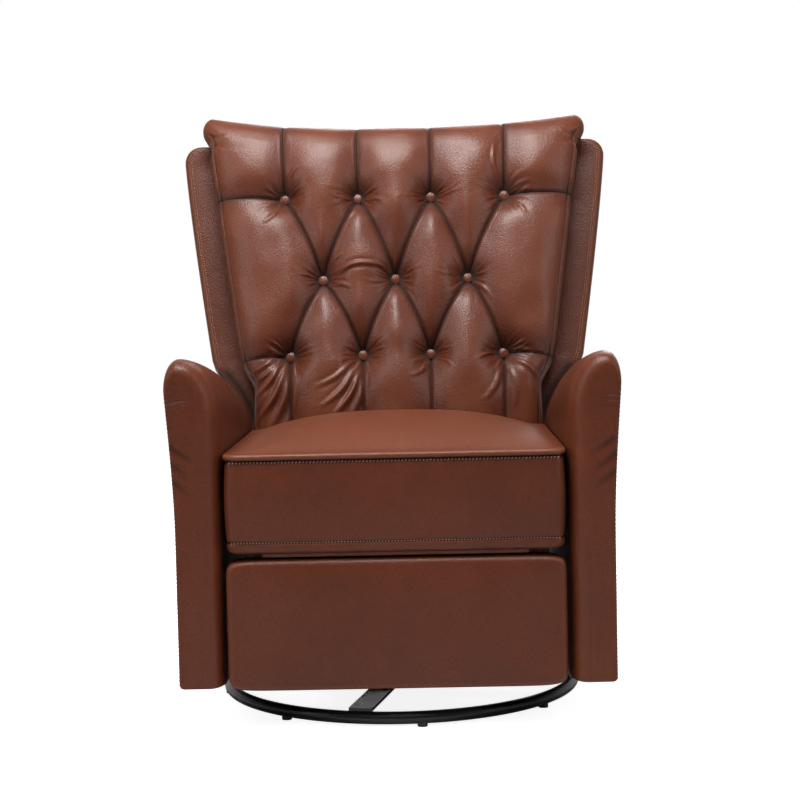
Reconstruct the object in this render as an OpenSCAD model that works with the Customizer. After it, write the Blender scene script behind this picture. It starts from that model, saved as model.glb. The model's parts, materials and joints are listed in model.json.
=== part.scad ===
// Leather swivel recliner on a round tube base.
// Origin: on the floor, on the swivel axis. Front faces -Y, up is +Z, millimetres.

/* [Ring base] */
// Radius of the ring, to the middle of its tube
ring_r = 294; // [260:1:330]
// Radius of the ring's tube
ring_tube_r = 10; // [8:0.5:14]
// Height of the tube's underside above the floor
ring_clear = 4; // [2:0.5:10]
// Number of glides under the ring
glide_count = 8; // [4:1:12]
// Radius of one glide
glide_r = 8; // [6:0.5:14]
// Turn of the first glide from the front
base_turn = 7; // [0:1:20]
// Turn of the cross bars
bar_turn = -12; // [-30:1:30]
// Width of the flat cross bars
cross_bar_w = 38; // [30:1:50]
// Thickness of the flat cross bars
cross_bar_t = 5; // [4:0.5:8]
// Radius of the hub plate where the bars meet
hub_r = 100; // [90:1:120]

/* [Swivel bearing] */
// Radius of the two race plates
race_plate_r = 75; // [70:1:85]
// Thickness of each race plate
race_plate_t = 5; // [4:0.5:8]
// Radius of the circle on which the balls run
ball_track_r = 60; // [50:1:62]
// Radius of one ball
ball_r = 4; // [3:0.5:5]
// Number of balls
ball_count = 16; // [10:1:20]
// Radius of the pivot bolt's shank
pivot_r = 8; // [6:0.5:10]

/* [Chassis] */
// Side of the square chassis tubes
tube_w = 25; // [20:1:30]
// Wall of the square chassis tubes
tube_wall = 2; // [1.5:0.5:3]
// Distance from the swivel axis forward to the front cross tube
front_tube_y = 59.5; // [50:0.5:70]
// Distance from the swivel axis back to the rear cross tube
rear_tube_y = 159.5; // [150:0.5:170]
// Distance between the middles of the two long chassis tubes
long_tube_gap = 110; // [90:1:125]

/* [Mechanism] */
// Thickness of the steel side plates and links
plate_t = 3; // [2.5:0.1:3.5]
// Free space between one layer of plates and the next
layer_gap = 4; // [3.6:0.1:5]
// Distance from the seat cushion's side in to the innermost plate
plate_inset = 73; // [68:1:83]
// Half width of the links
link_half_w = 9; // [7.5:0.5:10]
// Radius of the link pivots
pin_r = 5; // [4:0.5:6]
// Length of the four swing links
swing_len = 130; // [120:1:140]
// Height of the swing links' upper pivots
swing_top_z = 243; // [235:1:246]
// Forward place of the front swing link's upper pivot
swing_front_f = 60; // [50:1:70]
// Rearward place of the rear swing link's upper pivot
swing_rear_y = 130; // [120:1:140]
// Backward lean of the swing links at rest, from straight down
swing_lean = 4; // [0:0.5:8]
// Length of the crank that tips the back
crank_len = 50; // [40:1:55]

/* [Leg rest linkage] */
// Length of the two long leg links
leg_link_len = 158; // [145:1:165]
// Forward place of the front leg link's upper pivot
leg_pivot_f = 217; // [205:1:225]
// Height of the front leg link's upper pivot
leg_pivot_z = 248.5; // [240:0.5:250]
// Forward distance between the two leg link pivots
leg_pair_f = 45; // [36:1:50]
// Height difference between the two leg link pivots
leg_pair_z = 12; // [8:0.5:16]
// Backward lean of the leg links at rest, from straight down
leg_lean = 20; // [14:0.5:24]
// Length of the crank that turns the leg rest panel
panel_crank = 34; // [30:0.5:36]
// Height of the panel's main pivot
panel_pivot_z = 238; // [225:1:245]

/* [Seat] */
// Width of the seat cushion
seat_w = 526; // [500:1:560]
// Front face of the seat cushion, forward of the swivel axis
seat_front_f = 327; // [310:1:340]
// Rear face of the seat cushion, behind the swivel axis
seat_rear_y = 185; // [175:1:188]
// Height of the seat cushion's underside
seat_z = 279; // [274:1:300]
// Height of the seat cushion's side band, up to its top seam
seat_band_h = 147; // [120:1:160]
// Rise of the seat's crown above the top seam
seat_crown = 52; // [30:1:60]
// Height of the wooden seat frame
frame_h = 17; // [15:0.5:20]
// Width of the seat frame's rails
rail_w = 45; // [40:1:60]
// Number of sinuous seat springs
spring_count = 4; // [3:1:5]
// Radius of the spring wire
wire_r = 1.9; // [1.5:0.1:2.2]

/* [Arms] */
// Gap between the seat cushion and each arm
arm_gap = 5; // [4:0.5:8]
// Thickness of the arm at its foot
arm_w = 70; // [62:1:80]
// How far the arm's outer side flares out at the top
arm_flare = 22; // [0:1:28]
// Height of the arm's underside
arm_z = 70; // [66:1:72]
// Height of the arm's top at the front
arm_top_z = 584; // [560:1:600]
// Drop of the arm's top from front to rear
arm_drop = 84; // [70:1:130]
// Front face of the arms, forward of the swivel axis
arm_front_f = 329; // [320:1:340]
// Rear face of the arms, behind the swivel axis
arm_rear_y = 275; // [260:1:280]
// Thickness of the plywood arm board
arm_board_t = 16; // [12:1:20]
// How much thinner the arm gets towards its rear
arm_thin = 14; // [0:1:20]

/* [Back] */
// Backward tilt of the back at rest
back_tilt = 14; // [10:0.5:16]
// Place of the back's hinge behind the swivel axis
hinge_y = 205; // [203:0.5:208]
// Height of the back's hinge
hinge_z = 285; // [283:0.5:288]
// Length of the back's shell along the back
shell_top = 712; // [690:1:730]
// Half width of the wings at the top
wing_top_x = 403; // [380:1:410]
// Half width of the wings at their lower end
wing_low_x = 346; // [340:1:350]
// Distance up the back to the underside of the wings
wing_low_z = 266; // [250:1:280]
// Distance from the seat cushion's side in to the back between the arms
back_inset = 2; // [0:1:23]
// Distance from the hinge plane to the front of the shell
shell_front = 38; // [36:0.5:42]
// Thickness of the shell
shell_t = 95; // [80:1:110]
// Distance up the back to the top edge of the tufted cushion
cushion_top = 726; // [710:1:740]
// Distance up the back to the bottom edge of the tufted cushion
cushion_low = 42; // [40:1:60]
// Half width of the tufted cushion at its top
cushion_top_x = 358; // [340:1:365]
// Projection of the tufted cushion in front of its edge
cushion_crown = 62; // [50:1:64]
// Depth of the button tufts
tuft_depth = 26; // [16:1:30]
// Radius of the covered buttons
button_r = 11; // [9:0.5:13]

/* [Leg rest] */
// Distance from the seat cushion's side in to the leg rest's side
rest_inset = 3; // [1:1:18]
// Height of the leg rest
rest_h = 205; // [190:1:206]
// Height of the leg rest's lower edge
rest_z = 65; // [62:1:75]
// Front face of the leg rest, forward of the swivel axis
rest_front_f = 329; // [325:1:335]
// Thickness of the leg rest's pad
rest_pad_t = 47; // [35:1:48]
// Thickness of the leg rest's board
rest_board_t = 12; // [9:1:15]

/* [Hidden] */
$fn = 48;

leather = [0.33, 0.17, 0.12];
black_steel = [0.06, 0.06, 0.065];
bright_steel = [0.62, 0.62, 0.63];
plywood = [0.72, 0.56, 0.36];

// clearances
run_fit = 0.05;
side_fit = 0.3;
overrun = 1;

// widths that follow the seat
inner_plate_x = seat_w / 2 - plate_inset;
back_low_x = seat_w / 2 - back_inset;
rest_w = seat_w - 2 * rest_inset;

// the base, from the floor up
tube_mid_z = ring_clear + ring_tube_r;
spider_z = ring_clear + 2 * ring_tube_r;
glide_top_z = tube_mid_z - ring_tube_r * 0.6;
race_z = spider_z + cross_bar_t;
groove_share = 0.25;
ball_z = race_z + race_plate_t + ball_r * (1 - groove_share);
upper_race_z = ball_z + ball_r * (1 - groove_share) + side_fit;
chassis_z = upper_race_z + race_plate_t;
centre_plate_t = 5;
centre_plate_x = 100;
centre_plate_front = 100;
centre_plate_rear = 125;
tube_z = chassis_z + centre_plate_t;
tube_top_z = tube_z + tube_w;
bolt_head_r = 13;
bolt_head_h = 8;
nut_h = 8;
washer_t = 3;
washer_r = 16;

// pivots, as [y, z] at rest, seen from the side
function lean(len, a) = [len * sin(a), -len * cos(a)];
front_top = [-swing_front_f, swing_top_z];
rear_top = [swing_rear_y, swing_top_z];
front_low = front_top + lean(swing_len, swing_lean);
rear_low = rear_top + lean(swing_len, swing_lean);
hinge = [hinge_y, hinge_z];
crank_dip = 10;
crank = [crank_len * cos(crank_dip), -crank_len * sin(crank_dip)];
crank_end = rear_low + crank;
back_arm_end = hinge + crank;
leg_front = [-leg_pivot_f, leg_pivot_z];
leg_rear = leg_front + [leg_pair_f, -leg_pair_z];
leg_front_end = leg_front + lean(leg_link_len, leg_lean);
leg_rear_end = leg_rear + lean(leg_link_len, leg_lean);
rest_back_f = rest_front_f - rest_pad_t - rest_board_t;
panel_pivot_set = 14;
panel_pivot = [-(rest_back_f - panel_pivot_set), panel_pivot_z];
panel_low_pivot = panel_pivot - [0, panel_crank];
leg_crank_end = leg_front_end - [0, panel_crank];

// layers of plates from the middle outwards
function layer_x(i) = inner_plate_x + i * (plate_t + layer_gap);
chassis_layer = 0;
swing_layer = 1;
carriage_layer = 2;
leg_layer = 3;
bar_layer = 4;
panel_layer = 5;
pin_head_r = 8;
pin_head_t = 2.5;
boss_r = 13;
shaft_r = 7;

// arms
arm_in_x = seat_w / 2 + arm_gap;
arm_out_x = arm_in_x + arm_w;
board_x = arm_in_x + arm_w * 0.4;
board_front_inset = 39;
board_rear_inset = 35;
board_front_f = arm_front_f - board_front_inset;
board_rear_y = arm_rear_y - board_rear_inset;
board_h = 370;
end_plate_t = 5;
end_plate_y = 22;
end_plate_h = 60;
arm_bolt_r = 4;
arm_bolt_head_r = 7;
arm_bolt_head_h = 5;
arm_bolt_rise = 21;
arm_bolt_z = tube_top_z + arm_bolt_rise;
notch_gap = 5;
crest_share = 0.65;

// back, in its own tilted frame: x, y away from the sitter, z up the back
frame_t = 22;
stile_in_x = layer_x(leg_layer) + plate_t;
stile_w = 26;
frame_low = 30;
frame_top = 660;
back_rail_h = 60;
webbing_t = 2;
webbing_w = 50;
cushion_back = shell_front - webbing_t;
cushion_edge = 4;
wing_plate_t = 3;

// writes a [y, z] point of the side view at distance x from the middle
module at_side(p, x) {
    translate([x, p[0], p[1]]) rotate([90, 0, 90]) children();
}

// both sides of the chair, mirrored
module both_sides() {
    children();
    mirror([1, 0, 0]) children();
}

// one flat link between two pivots, with rounded eyes wider than its waist
waist_share = 0.88;
function turned(v) = [-v[1], v[0]] / norm(v);
module flat_link(a, b, half_w, layer) {
    side = turned(b - a) * half_w * waist_share;
    at_side([0, 0], layer_x(layer)) linear_extrude(plate_t)
    polygon([a + side, a - side, b - side, b + side]);
    for (p = [a, b]) at_side(p, layer_x(layer)) cylinder(r = half_w, h = plate_t);
}

// one flat link through three pivots, bent at the middle one
module bent_link(a, b, c, half_w, layer) {
    waist = half_w * waist_share;
    n1 = turned(b - a);
    n2 = turned(c - b);
    mitre = (n1 + n2) / (1 + n1 * n2);
    at_side([0, 0], layer_x(layer)) linear_extrude(plate_t) polygon([
        a + n1 * waist, a - n1 * waist, b - mitre * waist,
        c - n2 * waist, c + n2 * waist, b + mitre * waist
    ]);
    for (p = [a, b, c]) at_side(p, layer_x(layer)) cylinder(r = half_w, h = plate_t);
}

// a hole through one layer of plates
module hole(p, r, layer) {
    at_side(p, layer_x(layer) - overrun) cylinder(r = r, h = plate_t + 2 * overrun);
}

// a riveted pin through a layer and the next one out, fixed in the first of them
module pin_fixed_in(p, layer, r = pin_r) {
    x = layer_x(layer);
    next = layer_x(layer + 1);
    at_side(p, x - pin_head_t) cylinder(r = pin_head_r, h = pin_head_t);
    at_side(p, x - pin_head_t) cylinder(r = r, h = next + plate_t + side_fit - x + 2 * pin_head_t);
    at_side(p, x + plate_t) cylinder(r = pin_head_r, h = layer_gap - side_fit);
    at_side(p, next + plate_t + side_fit) cylinder(r = pin_head_r, h = pin_head_t);
}

// the same pin, fixed in the outer of the two layers
module pin_fixed_out(p, layer, r = pin_r) {
    x = layer_x(layer);
    next = layer_x(layer + 1);
    start = x - side_fit - pin_head_t;
    at_side(p, start) cylinder(r = pin_head_r, h = pin_head_t);
    at_side(p, start) cylinder(r = r, h = next + plate_t + pin_head_t - start);
    at_side(p, x + plate_t + side_fit) cylinder(r = pin_head_r, h = layer_gap - side_fit);
    at_side(p, next + plate_t) cylinder(r = pin_head_r, h = pin_head_t);
}

// triangles that join equal rings of points, closed at both ends by a middle point
function skin_faces(rings, n) = concat(
    [for (r = [0 : rings - 2]) for (i = [0 : n - 1])
        each let (a = r * n + i, b = r * n + (i + 1) % n)
            [[a, a + n, b + n], [a, b + n, b]]],
    [for (i = [0 : n - 1]) [rings * n, i, (i + 1) % n]],
    [for (i = [0 : n - 1]) let (t = (rings - 1) * n)
        [rings * n + 1, t + (i + 1) % n, t + i]]
);

module skin(rings, low_mid, top_mid) {
    n = len(rings[0]);
    polyhedron(
        points = concat([for (r = rings) each r], [low_mid, top_mid]),
        faces = skin_faces(len(rings), n),
        convexity = 6
    );
}

// one level of a cushion: a rounded rectangle whose sides draw in between its corners
pad_sides = 48;
pad_square = 9;
corner_share = 0.02;
function pad_ring(half_w, half_d, share, z) = [
    for (i = [0 : pad_sides - 1])
        let (
            t = 360 * i / pad_sides,
            c = cos(t),
            s = sin(t),
            k = 1 / pow(pow(abs(c), pad_square) + pow(abs(s), pad_square), 1 / pad_square),
            reach = share * (1 - corner_share * (1 - pow(sin(2 * t), 2)))
        )
        [half_w * c * k * reach, half_d * s * k * reach, z]
];

// a crowned cushion: flat below, swelling sides, top seam and a domed top
band_shares = [[0.5, 0], [0.965, 0], [0.995, 0.06], [1.01, 0.3], [1.012, 0.6], [1, 0.95], [0.992, 1]];
crown_shares = [[0.975, 0.16], [0.93, 0.38], [0.85, 0.61], [0.72, 0.81], [0.52, 0.93], [0.26, 0.985]];
module crowned_pad(w, d, band, crown) {
    rings = concat(
        [for (b = band_shares) pad_ring(w / 2, d / 2, b[0], b[1] * band)],
        [for (c = crown_shares) pad_ring(w / 2, d / 2, c[0], band + c[1] * crown)]
    );
    skin(rings, [0, 0, 0], [0, 0, band + crown]);
}

// the round tube ring
module base_ring() {
    color(black_steel)
    translate([0, 0, tube_mid_z])
    rotate_extrude($fn = 96) translate([ring_r, 0]) circle(r = ring_tube_r);
}

// crossed flat bars on the ring, with the hub plate
module base_spider() {
    color(black_steel)
    translate([0, 0, spider_z]) difference() {
        union() {
            cylinder(r = hub_r, h = cross_bar_t);
            for (k = [0 : 1])
                rotate([0, 0, bar_turn + 90 * k])
                translate([-cross_bar_w / 2, -ring_r, 0])
                cube([cross_bar_w, 2 * ring_r, cross_bar_t]);
        }
        translate([0, 0, -overrun]) cylinder(r = pivot_r, h = cross_bar_t + 2 * overrun);
    }
}

// plastic glides hooked under the ring
module base_glides() {
    color([0.05, 0.05, 0.05])
    for (k = [0 : glide_count - 1])
        rotate([0, 0, base_turn + 360 * k / glide_count])
        difference() {
            translate([0, -ring_r, 0]) cylinder(r = glide_r, h = glide_top_z);
            translate([0, 0, tube_mid_z])
            rotate_extrude($fn = 96) translate([ring_r, 0]) circle(r = ring_tube_r);
        }
}

module race_groove(r) {
    translate([0, 0, ball_z]) rotate_extrude($fn = 96) translate([ball_track_r, 0]) circle(r = r);
}

// lower ball race, bolted on the hub plate
module lower_race() {
    color(bright_steel)
    difference() {
        translate([0, 0, race_z]) cylinder(r = race_plate_r, h = race_plate_t, $fn = 96);
        translate([0, 0, race_z - overrun]) cylinder(r = pivot_r, h = race_plate_t + 2 * overrun);
        race_groove(ball_r + run_fit);
    }
}

module bearing_balls() {
    color(bright_steel)
    for (k = [0 : ball_count - 1])
        rotate([0, 0, 360 * k / ball_count])
        translate([ball_track_r, 0, ball_z]) sphere(r = ball_r, $fn = 24);
}

// pivot bolt up through the bearing
module pivot_bolt() {
    color(bright_steel) {
        translate([0, 0, spider_z - bolt_head_h]) cylinder(r = bolt_head_r, h = bolt_head_h, $fn = 6);
        translate([0, 0, spider_z - overrun])
        cylinder(r = pivot_r, h = tube_z + side_fit + washer_t + nut_h + 2 * overrun - spider_z);
    }
}

// washer and lock nut above the chassis plate
module pivot_nut() {
    color(bright_steel)
    translate([0, 0, tube_z + side_fit]) difference() {
        union() {
            cylinder(r = washer_r, h = washer_t);
            translate([0, 0, washer_t]) cylinder(r = bolt_head_r, h = nut_h, $fn = 6);
        }
        translate([0, 0, -overrun]) cylinder(r = pivot_r, h = washer_t + nut_h + 2 * overrun);
    }
}

// upper ball race, welded under the chassis plate
module upper_race() {
    color(bright_steel)
    difference() {
        translate([0, 0, upper_race_z]) cylinder(r = race_plate_r, h = race_plate_t, $fn = 96);
        translate([0, 0, upper_race_z - overrun])
        cylinder(r = pivot_r + run_fit, h = race_plate_t + 2 * overrun);
        race_groove(ball_r + side_fit);
    }
}

// a square tube along x, with its walls
module cross_tube(half_len, y) {
    translate([-half_len, y - tube_w / 2, tube_z]) difference() {
        cube([2 * half_len, tube_w, tube_w]);
        translate([-overrun, tube_wall, tube_wall])
        cube([2 * half_len + 2 * overrun, tube_w - 2 * tube_wall, tube_w - 2 * tube_wall]);
    }
}

// a square tube along y between the cross tubes
module long_tube(x) {
    start = -front_tube_y + tube_w / 2;
    length = rear_tube_y + front_tube_y - tube_w;
    translate([x - tube_w / 2, start, tube_z]) difference() {
        cube([tube_w, length, tube_w]);
        translate([tube_wall, -overrun, tube_wall])
        cube([tube_w - 2 * tube_wall, length + 2 * overrun, tube_w - 2 * tube_wall]);
    }
}

// end plate of a cross tube, bolted to the arm board
module end_plate(y) {
    translate([board_x - end_plate_t, y - end_plate_y, tube_z])
    cube([end_plate_t, 2 * end_plate_y, end_plate_h]);
}

module arm_bolt_hole(y) {
    at_side([y, arm_bolt_z], board_x - end_plate_t - overrun)
    cylinder(r = arm_bolt_r, h = end_plate_t + arm_board_t + 2 * overrun);
}

// plate welded on the upper race
module centre_plate() {
    color(black_steel)
    difference() {
        translate([-centre_plate_x, -centre_plate_front, chassis_z])
        cube([2 * centre_plate_x, centre_plate_front + centre_plate_rear, centre_plate_t]);
        translate([0, 0, chassis_z - overrun])
        cylinder(r = pivot_r + run_fit, h = centre_plate_t + 2 * overrun);
    }
}

// square tubes of the chassis
module long_tubes() {
    color(black_steel)
    for (side = [-1, 1]) long_tube(side * long_tube_gap / 2);
}

module cross_tubes() {
    color(black_steel)
    for (y = [-front_tube_y, rear_tube_y]) cross_tube(board_x - end_plate_t, y);
}

module arm_end_plates() {
    color(black_steel)
    both_sides() for (y = [-front_tube_y, rear_tube_y]) difference() {
        end_plate(y);
        arm_bolt_hole(y);
    }
}

// upright plate that the swing links hang from
side_hole_r = 34;
module side_plate() {
    x = layer_x(chassis_layer);
    foot_front = -front_tube_y - tube_w / 2;
    foot_rear = rear_tube_y + tube_w / 2;
    top = swing_top_z + boss_r;
    color(black_steel)
    difference() {
        at_side([0, 0], x) linear_extrude(plate_t) polygon([
            [foot_front, tube_top_z], [foot_rear, tube_top_z],
            [swing_rear_y + boss_r, top], [-swing_front_f - boss_r, top]
        ]);
        hole(front_top, pin_r, chassis_layer);
        hole(rear_top, pin_r, chassis_layer);
        hole([(swing_rear_y - swing_front_f) / 2, (tube_top_z + top) / 2], side_hole_r, chassis_layer);
    }
}

module left_side_plate() mirror([1, 0, 0]) side_plate();
module right_side_plate() side_plate();

module chassis_pins() {
    color(bright_steel)
    both_sides() for (p = [front_top, rear_top]) pin_fixed_in(p, chassis_layer);
}

// plywood board inside the arm
module arm_board() {
    color(plywood)
    difference() {
        translate([board_x, -board_front_f, arm_z])
        cube([arm_board_t, board_front_f + board_rear_y, board_h]);
        for (y = [-front_tube_y, rear_tube_y]) arm_bolt_hole(y);
    }
}

module left_arm_board() mirror([1, 0, 0]) arm_board();
module right_arm_board() arm_board();

// hexagon bolts that hold the arms on the chassis
module arm_bolts() {
    color(bright_steel)
    both_sides() for (y = [-front_tube_y, rear_tube_y]) {
        at_side([y, arm_bolt_z], board_x - end_plate_t - arm_bolt_head_h)
        cylinder(r = arm_bolt_head_r, h = arm_bolt_head_h, $fn = 6);
        at_side([y, arm_bolt_z], board_x - end_plate_t - overrun)
        cylinder(r = arm_bolt_r, h = end_plate_t + arm_board_t + overrun);
    }
}

// outer side of the arm: upright below, flaring towards the top
flare_low_share = 0.45;
flare_top_share = 0.86;
function smooth(t) = let (c = min(1, max(0, t))) c * c * (3 - 2 * c);
function arm_side_x(z) =
    arm_out_x + arm_flare * smooth(((z - arm_z) / (arm_top_z - arm_z) - flare_low_share)
        / (flare_top_share - flare_low_share));

// height of the arm's crest at a place along the arm
function arm_crest(y) =
    let (t = max(0, (y + arm_front_f) / (arm_front_f + arm_rear_y)))
    arm_top_z - arm_drop * (0.4 * t + 0.6 * t * t);

// one cross-section of the right arm, with its edges rolled in at the ends
arm_foot_r = 6;
arm_mid_y = 60;
outer_roll = 36;
inner_roll = 85;
outer_steps = 6;
arc_steps = 6;
function arm_section(y, inset) =
    let (
        top = arm_crest(y) - inset,
        low = arm_z + inset * 0.15,
        in_x = arm_in_x + inset + arm_thin * smooth((y + arm_mid_y) / (arm_rear_y + arm_mid_y)),
        out_x = function (z) arm_side_x(z) - inset * 0.25,
        crest_x = arm_in_x + arm_w * crest_share + arm_flare * crest_share,
        turn_z = top - outer_roll,
        wide = out_x(turn_z) - crest_x,
        in_turn = top - inner_roll
    )
    concat(
        [[in_x, y, low + arm_foot_r], [in_x + arm_foot_r, y, low]],
        [[out_x(low) - arm_foot_r, y, low]],
        [for (k = [0 : outer_steps - 1])
            let (z = low + arm_foot_r + (turn_z - low - arm_foot_r) * k / outer_steps) [out_x(z), y, z]],
        [for (k = [0 : arc_steps - 1])
            let (a = 90 * k / arc_steps) [crest_x + wide * cos(a), y, turn_z + outer_roll * sin(a)]],
        [for (k = [0 : arc_steps])
            let (a = 90 + 90 * k / arc_steps)
                [crest_x + (crest_x - in_x) * cos(a), y, in_turn + inner_roll * sin(a)]],
        [for (k = [1 : 2]) [in_x, y, in_turn + (low - in_turn) * k / 3]]
    );

// padded leather arm with a slot for its board and room for the chassis tubes
arm_end_r = 26;
roll_shares = [[0, 1], [0.15, 0.5], [0.5, 0.14], [1, 0]];
arm_stations = 9;
module arm_cover() {
    front = -arm_front_f;
    run = arm_rear_y + arm_front_f - 2 * arm_end_r;
    stations = concat(
        [for (s = roll_shares) [arm_rear_y - arm_end_r * s[0], arm_end_r * s[1]]],
        [for (k = [1 : arm_stations]) [arm_rear_y - arm_end_r - run * k / (arm_stations + 1), 0]],
        [for (i = [0 : 3]) let (s = roll_shares[3 - i]) [front + arm_end_r * s[0], arm_end_r * s[1]]]
    );
    rings = [for (s = stations) arm_section(s[0], s[1])];
    mid_x = arm_in_x + arm_w / 2;
    mid_z = (arm_z + arm_top_z) / 2;
    color(leather)
    difference() {
        skin(rings, [mid_x, arm_rear_y, mid_z], [mid_x, front, mid_z]);
        translate([board_x, -board_front_f, arm_z - overrun])
        cube([arm_board_t, board_front_f + board_rear_y, board_h + overrun]);
        for (y = [-front_tube_y, rear_tube_y])
            translate([arm_in_x - overrun, y - end_plate_y - notch_gap, arm_z - overrun])
            cube([board_x - arm_in_x + overrun, 2 * (end_plate_y + notch_gap),
                  tube_z + end_plate_h + notch_gap - arm_z + overrun]);
    }
}

module left_arm_cover() mirror([1, 0, 0]) arm_cover();
module right_arm_cover() arm_cover();

// pair of links at the front of the mechanism
module front_swing_links() {
    color(black_steel)
    both_sides() difference() {
        flat_link(front_top, front_low, link_half_w, swing_layer);
        hole(front_top, pin_r + run_fit, swing_layer);
        hole(front_low, pin_r + run_fit, swing_layer);
    }
}

// pair of links at the rear, with a shaft out to the crank that tips the back
module rear_swing_links() {
    reach = layer_x(leg_layer) - layer_x(swing_layer) + plate_t + 2 * overrun;
    color(black_steel)
    both_sides() {
        difference() {
            union() {
                flat_link(rear_top, rear_low, link_half_w, swing_layer);
                at_side(rear_low, layer_x(swing_layer) - overrun) cylinder(r = shaft_r, h = reach);
                flat_link(crank_end, rear_low, link_half_w, leg_layer);
            }
            hole(rear_top, pin_r + run_fit, swing_layer);
            hole(crank_end, pin_r + run_fit, leg_layer);
        }
    }
}

// plate under each side of the seat, hung on the swing links
carriage_hole_r = 28;
carriage_nose = 23;
carriage_deep = 27;
ear_w = 19;
hinge_eye_r = 12;
carriage_tail_inset = 10;
module carriage_plate() {
    x = layer_x(carriage_layer);
    nose = -leg_pivot_f - carriage_nose;
    top = seat_z - frame_h;
    low = front_low[1] - boss_r;
    tail = seat_rear_y - carriage_tail_inset;
    ear_root = [rear_low[0], top - 2 * boss_r];
    ear_side = turned(hinge - ear_root) * ear_w / 2;
    color(black_steel)
    difference() {
        union() {
            at_side([0, 0], x) linear_extrude(plate_t) polygon([
                [nose, top], [nose, top - carriage_deep], [front_low[0] - boss_r, low],
                [rear_low[0] + boss_r, low], hinge - ear_side, hinge + ear_side,
                [tail + boss_r, top]
            ]);
            at_side(hinge, x) cylinder(r = hinge_eye_r, h = plate_t);
        }
        hole(front_low, pin_r, carriage_layer);
        hole(rear_low, shaft_r + run_fit, carriage_layer);
        hole(hinge, pin_r, carriage_layer);
        hole(leg_front, pin_r, carriage_layer);
        hole(leg_rear, pin_r, carriage_layer);
        hole([0, (low + top) / 2], carriage_hole_r, carriage_layer);
        hole([(rear_low[0]) / 2, (low + top) / 2], carriage_hole_r, carriage_layer);
    }
}

module left_carriage_plate() mirror([1, 0, 0]) carriage_plate();
module right_carriage_plate() carriage_plate();

module carriage_pins() {
    color(bright_steel)
    both_sides() {
        pin_fixed_out(front_low, swing_layer);
        for (p = [hinge, leg_front, leg_rear]) pin_fixed_in(p, carriage_layer);
    }
}

// wooden rails under the seat cushion
seat_frame_inset = 23;
seat_frame_x = seat_w / 2 - seat_frame_inset;
seat_frame_set = 10;
rail_clear = 2;
seat_front_y = rail_clear - rest_back_f;
seat_back_y = seat_rear_y - seat_frame_set;
module seat_side_rails() {
    color(plywood)
    both_sides()
    translate([seat_frame_x - rail_w, seat_front_y, seat_z - frame_h])
    cube([rail_w, seat_back_y - seat_front_y, frame_h]);
}

module seat_cross_rails() {
    color(plywood)
    for (y = [seat_front_y, seat_back_y - rail_w])
        translate([rail_w - seat_frame_x, y, seat_z - frame_h])
        cube([2 * (seat_frame_x - rail_w), rail_w, frame_h]);
}

// sinuous springs across the seat frame
spring_sides = 5;
spring_rings = 57;
spring_waves = 7;
spring_reach = 20;
module seat_springs() {
    front = seat_front_y + rail_w;
    rear = seat_back_y - rail_w;
    z = seat_z - frame_h / 2;
    pitch = 2 * (seat_frame_x - rail_w) / (spring_count + 1);
    color(bright_steel)
    for (k = [1 : spring_count]) {
        x = -seat_frame_x + rail_w + pitch * k;
        rings = [for (i = [0 : spring_rings - 1])
            let (
                t = i / (spring_rings - 1),
                a = 360 * spring_waves * t,
                slope = spring_reach * 2 * PI * spring_waves * cos(a) / (rear - front),
                turn = i == 0 || i == spring_rings - 1 ? 0 : atan(slope)
            )
            [for (j = [0 : spring_sides - 1])
                let (b = -360 * j / spring_sides)
                [x + spring_reach * sin(a) + wire_r * cos(b) * cos(turn),
                 front + (rear - front) * t - wire_r * cos(b) * sin(turn),
                 z + wire_r * sin(b)]]];
        skin(rings, [x, front, z], [x, rear, z]);
    }
}

// thin leather-covered board under the front of the cushion
lip_t = 5;
lip_inset = 58;
lip_front_inset = 9;
module seat_lip() {
    half_w = seat_w / 2 - lip_inset;
    front = lip_front_inset - seat_front_f;
    color(leather)
    translate([-half_w, front, seat_z - lip_t])
    cube([2 * half_w, seat_front_y - front, lip_t]);
}

// crowned seat cushion with its side band
module seat_cushion() {
    depth = seat_front_f + seat_rear_y;
    color(leather)
    translate([0, (seat_rear_y - seat_front_f) / 2, seat_z])
    crowned_pad(seat_w, depth, seat_band_h, seat_crown);
}

// rods from the rear links' cranks to the back
module back_control_rods() {
    color(black_steel)
    both_sides() difference() {
        flat_link(crank_end, back_arm_end, link_half_w, bar_layer);
        hole(crank_end, pin_r, bar_layer);
        hole(back_arm_end, pin_r, bar_layer);
    }
}

module back_rod_pins() {
    color(bright_steel)
    both_sides() for (p = [crank_end, back_arm_end]) pin_fixed_out(p, leg_layer);
}

// places children in the tilted frame of the back
module on_back() {
    translate([0, hinge_y, hinge_z]) rotate([-back_tilt, 0, 0]) children();
}

// a point of the back's own frame as [y, z] of the side view
function back_point(y, z) = hinge + [
    y * cos(back_tilt) + z * sin(back_tilt),
    z * cos(back_tilt) - y * sin(back_tilt)
];

// steel bracket from the hinge up each stile
bracket_top = 240;
module back_brackets() {
    color(black_steel)
    both_sides() difference() {
        bent_link(hinge, back_arm_end, back_point(shell_front + frame_t / 2, bracket_top),
                  link_half_w, leg_layer);
        hole(hinge, pin_r + run_fit, leg_layer);
        hole(back_arm_end, pin_r + side_fit, leg_layer);
    }
}

// wooden ladder frame of the back
module back_stile_bars(grow = 0) {
    for (side = [-1, 1])
        translate([side * (stile_in_x + stile_w / 2) - stile_w / 2, shell_front - grow, frame_low])
        cube([stile_w, frame_t + grow, frame_top - frame_low]);
}

module back_rail_bars(grow = 0) {
    for (z = [frame_low, (frame_low + frame_top - back_rail_h) / 2, frame_top - back_rail_h])
        translate([plate_t - stile_in_x, shell_front - grow, z])
        cube([2 * (stile_in_x - plate_t), frame_t + grow, back_rail_h]);
}

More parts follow.
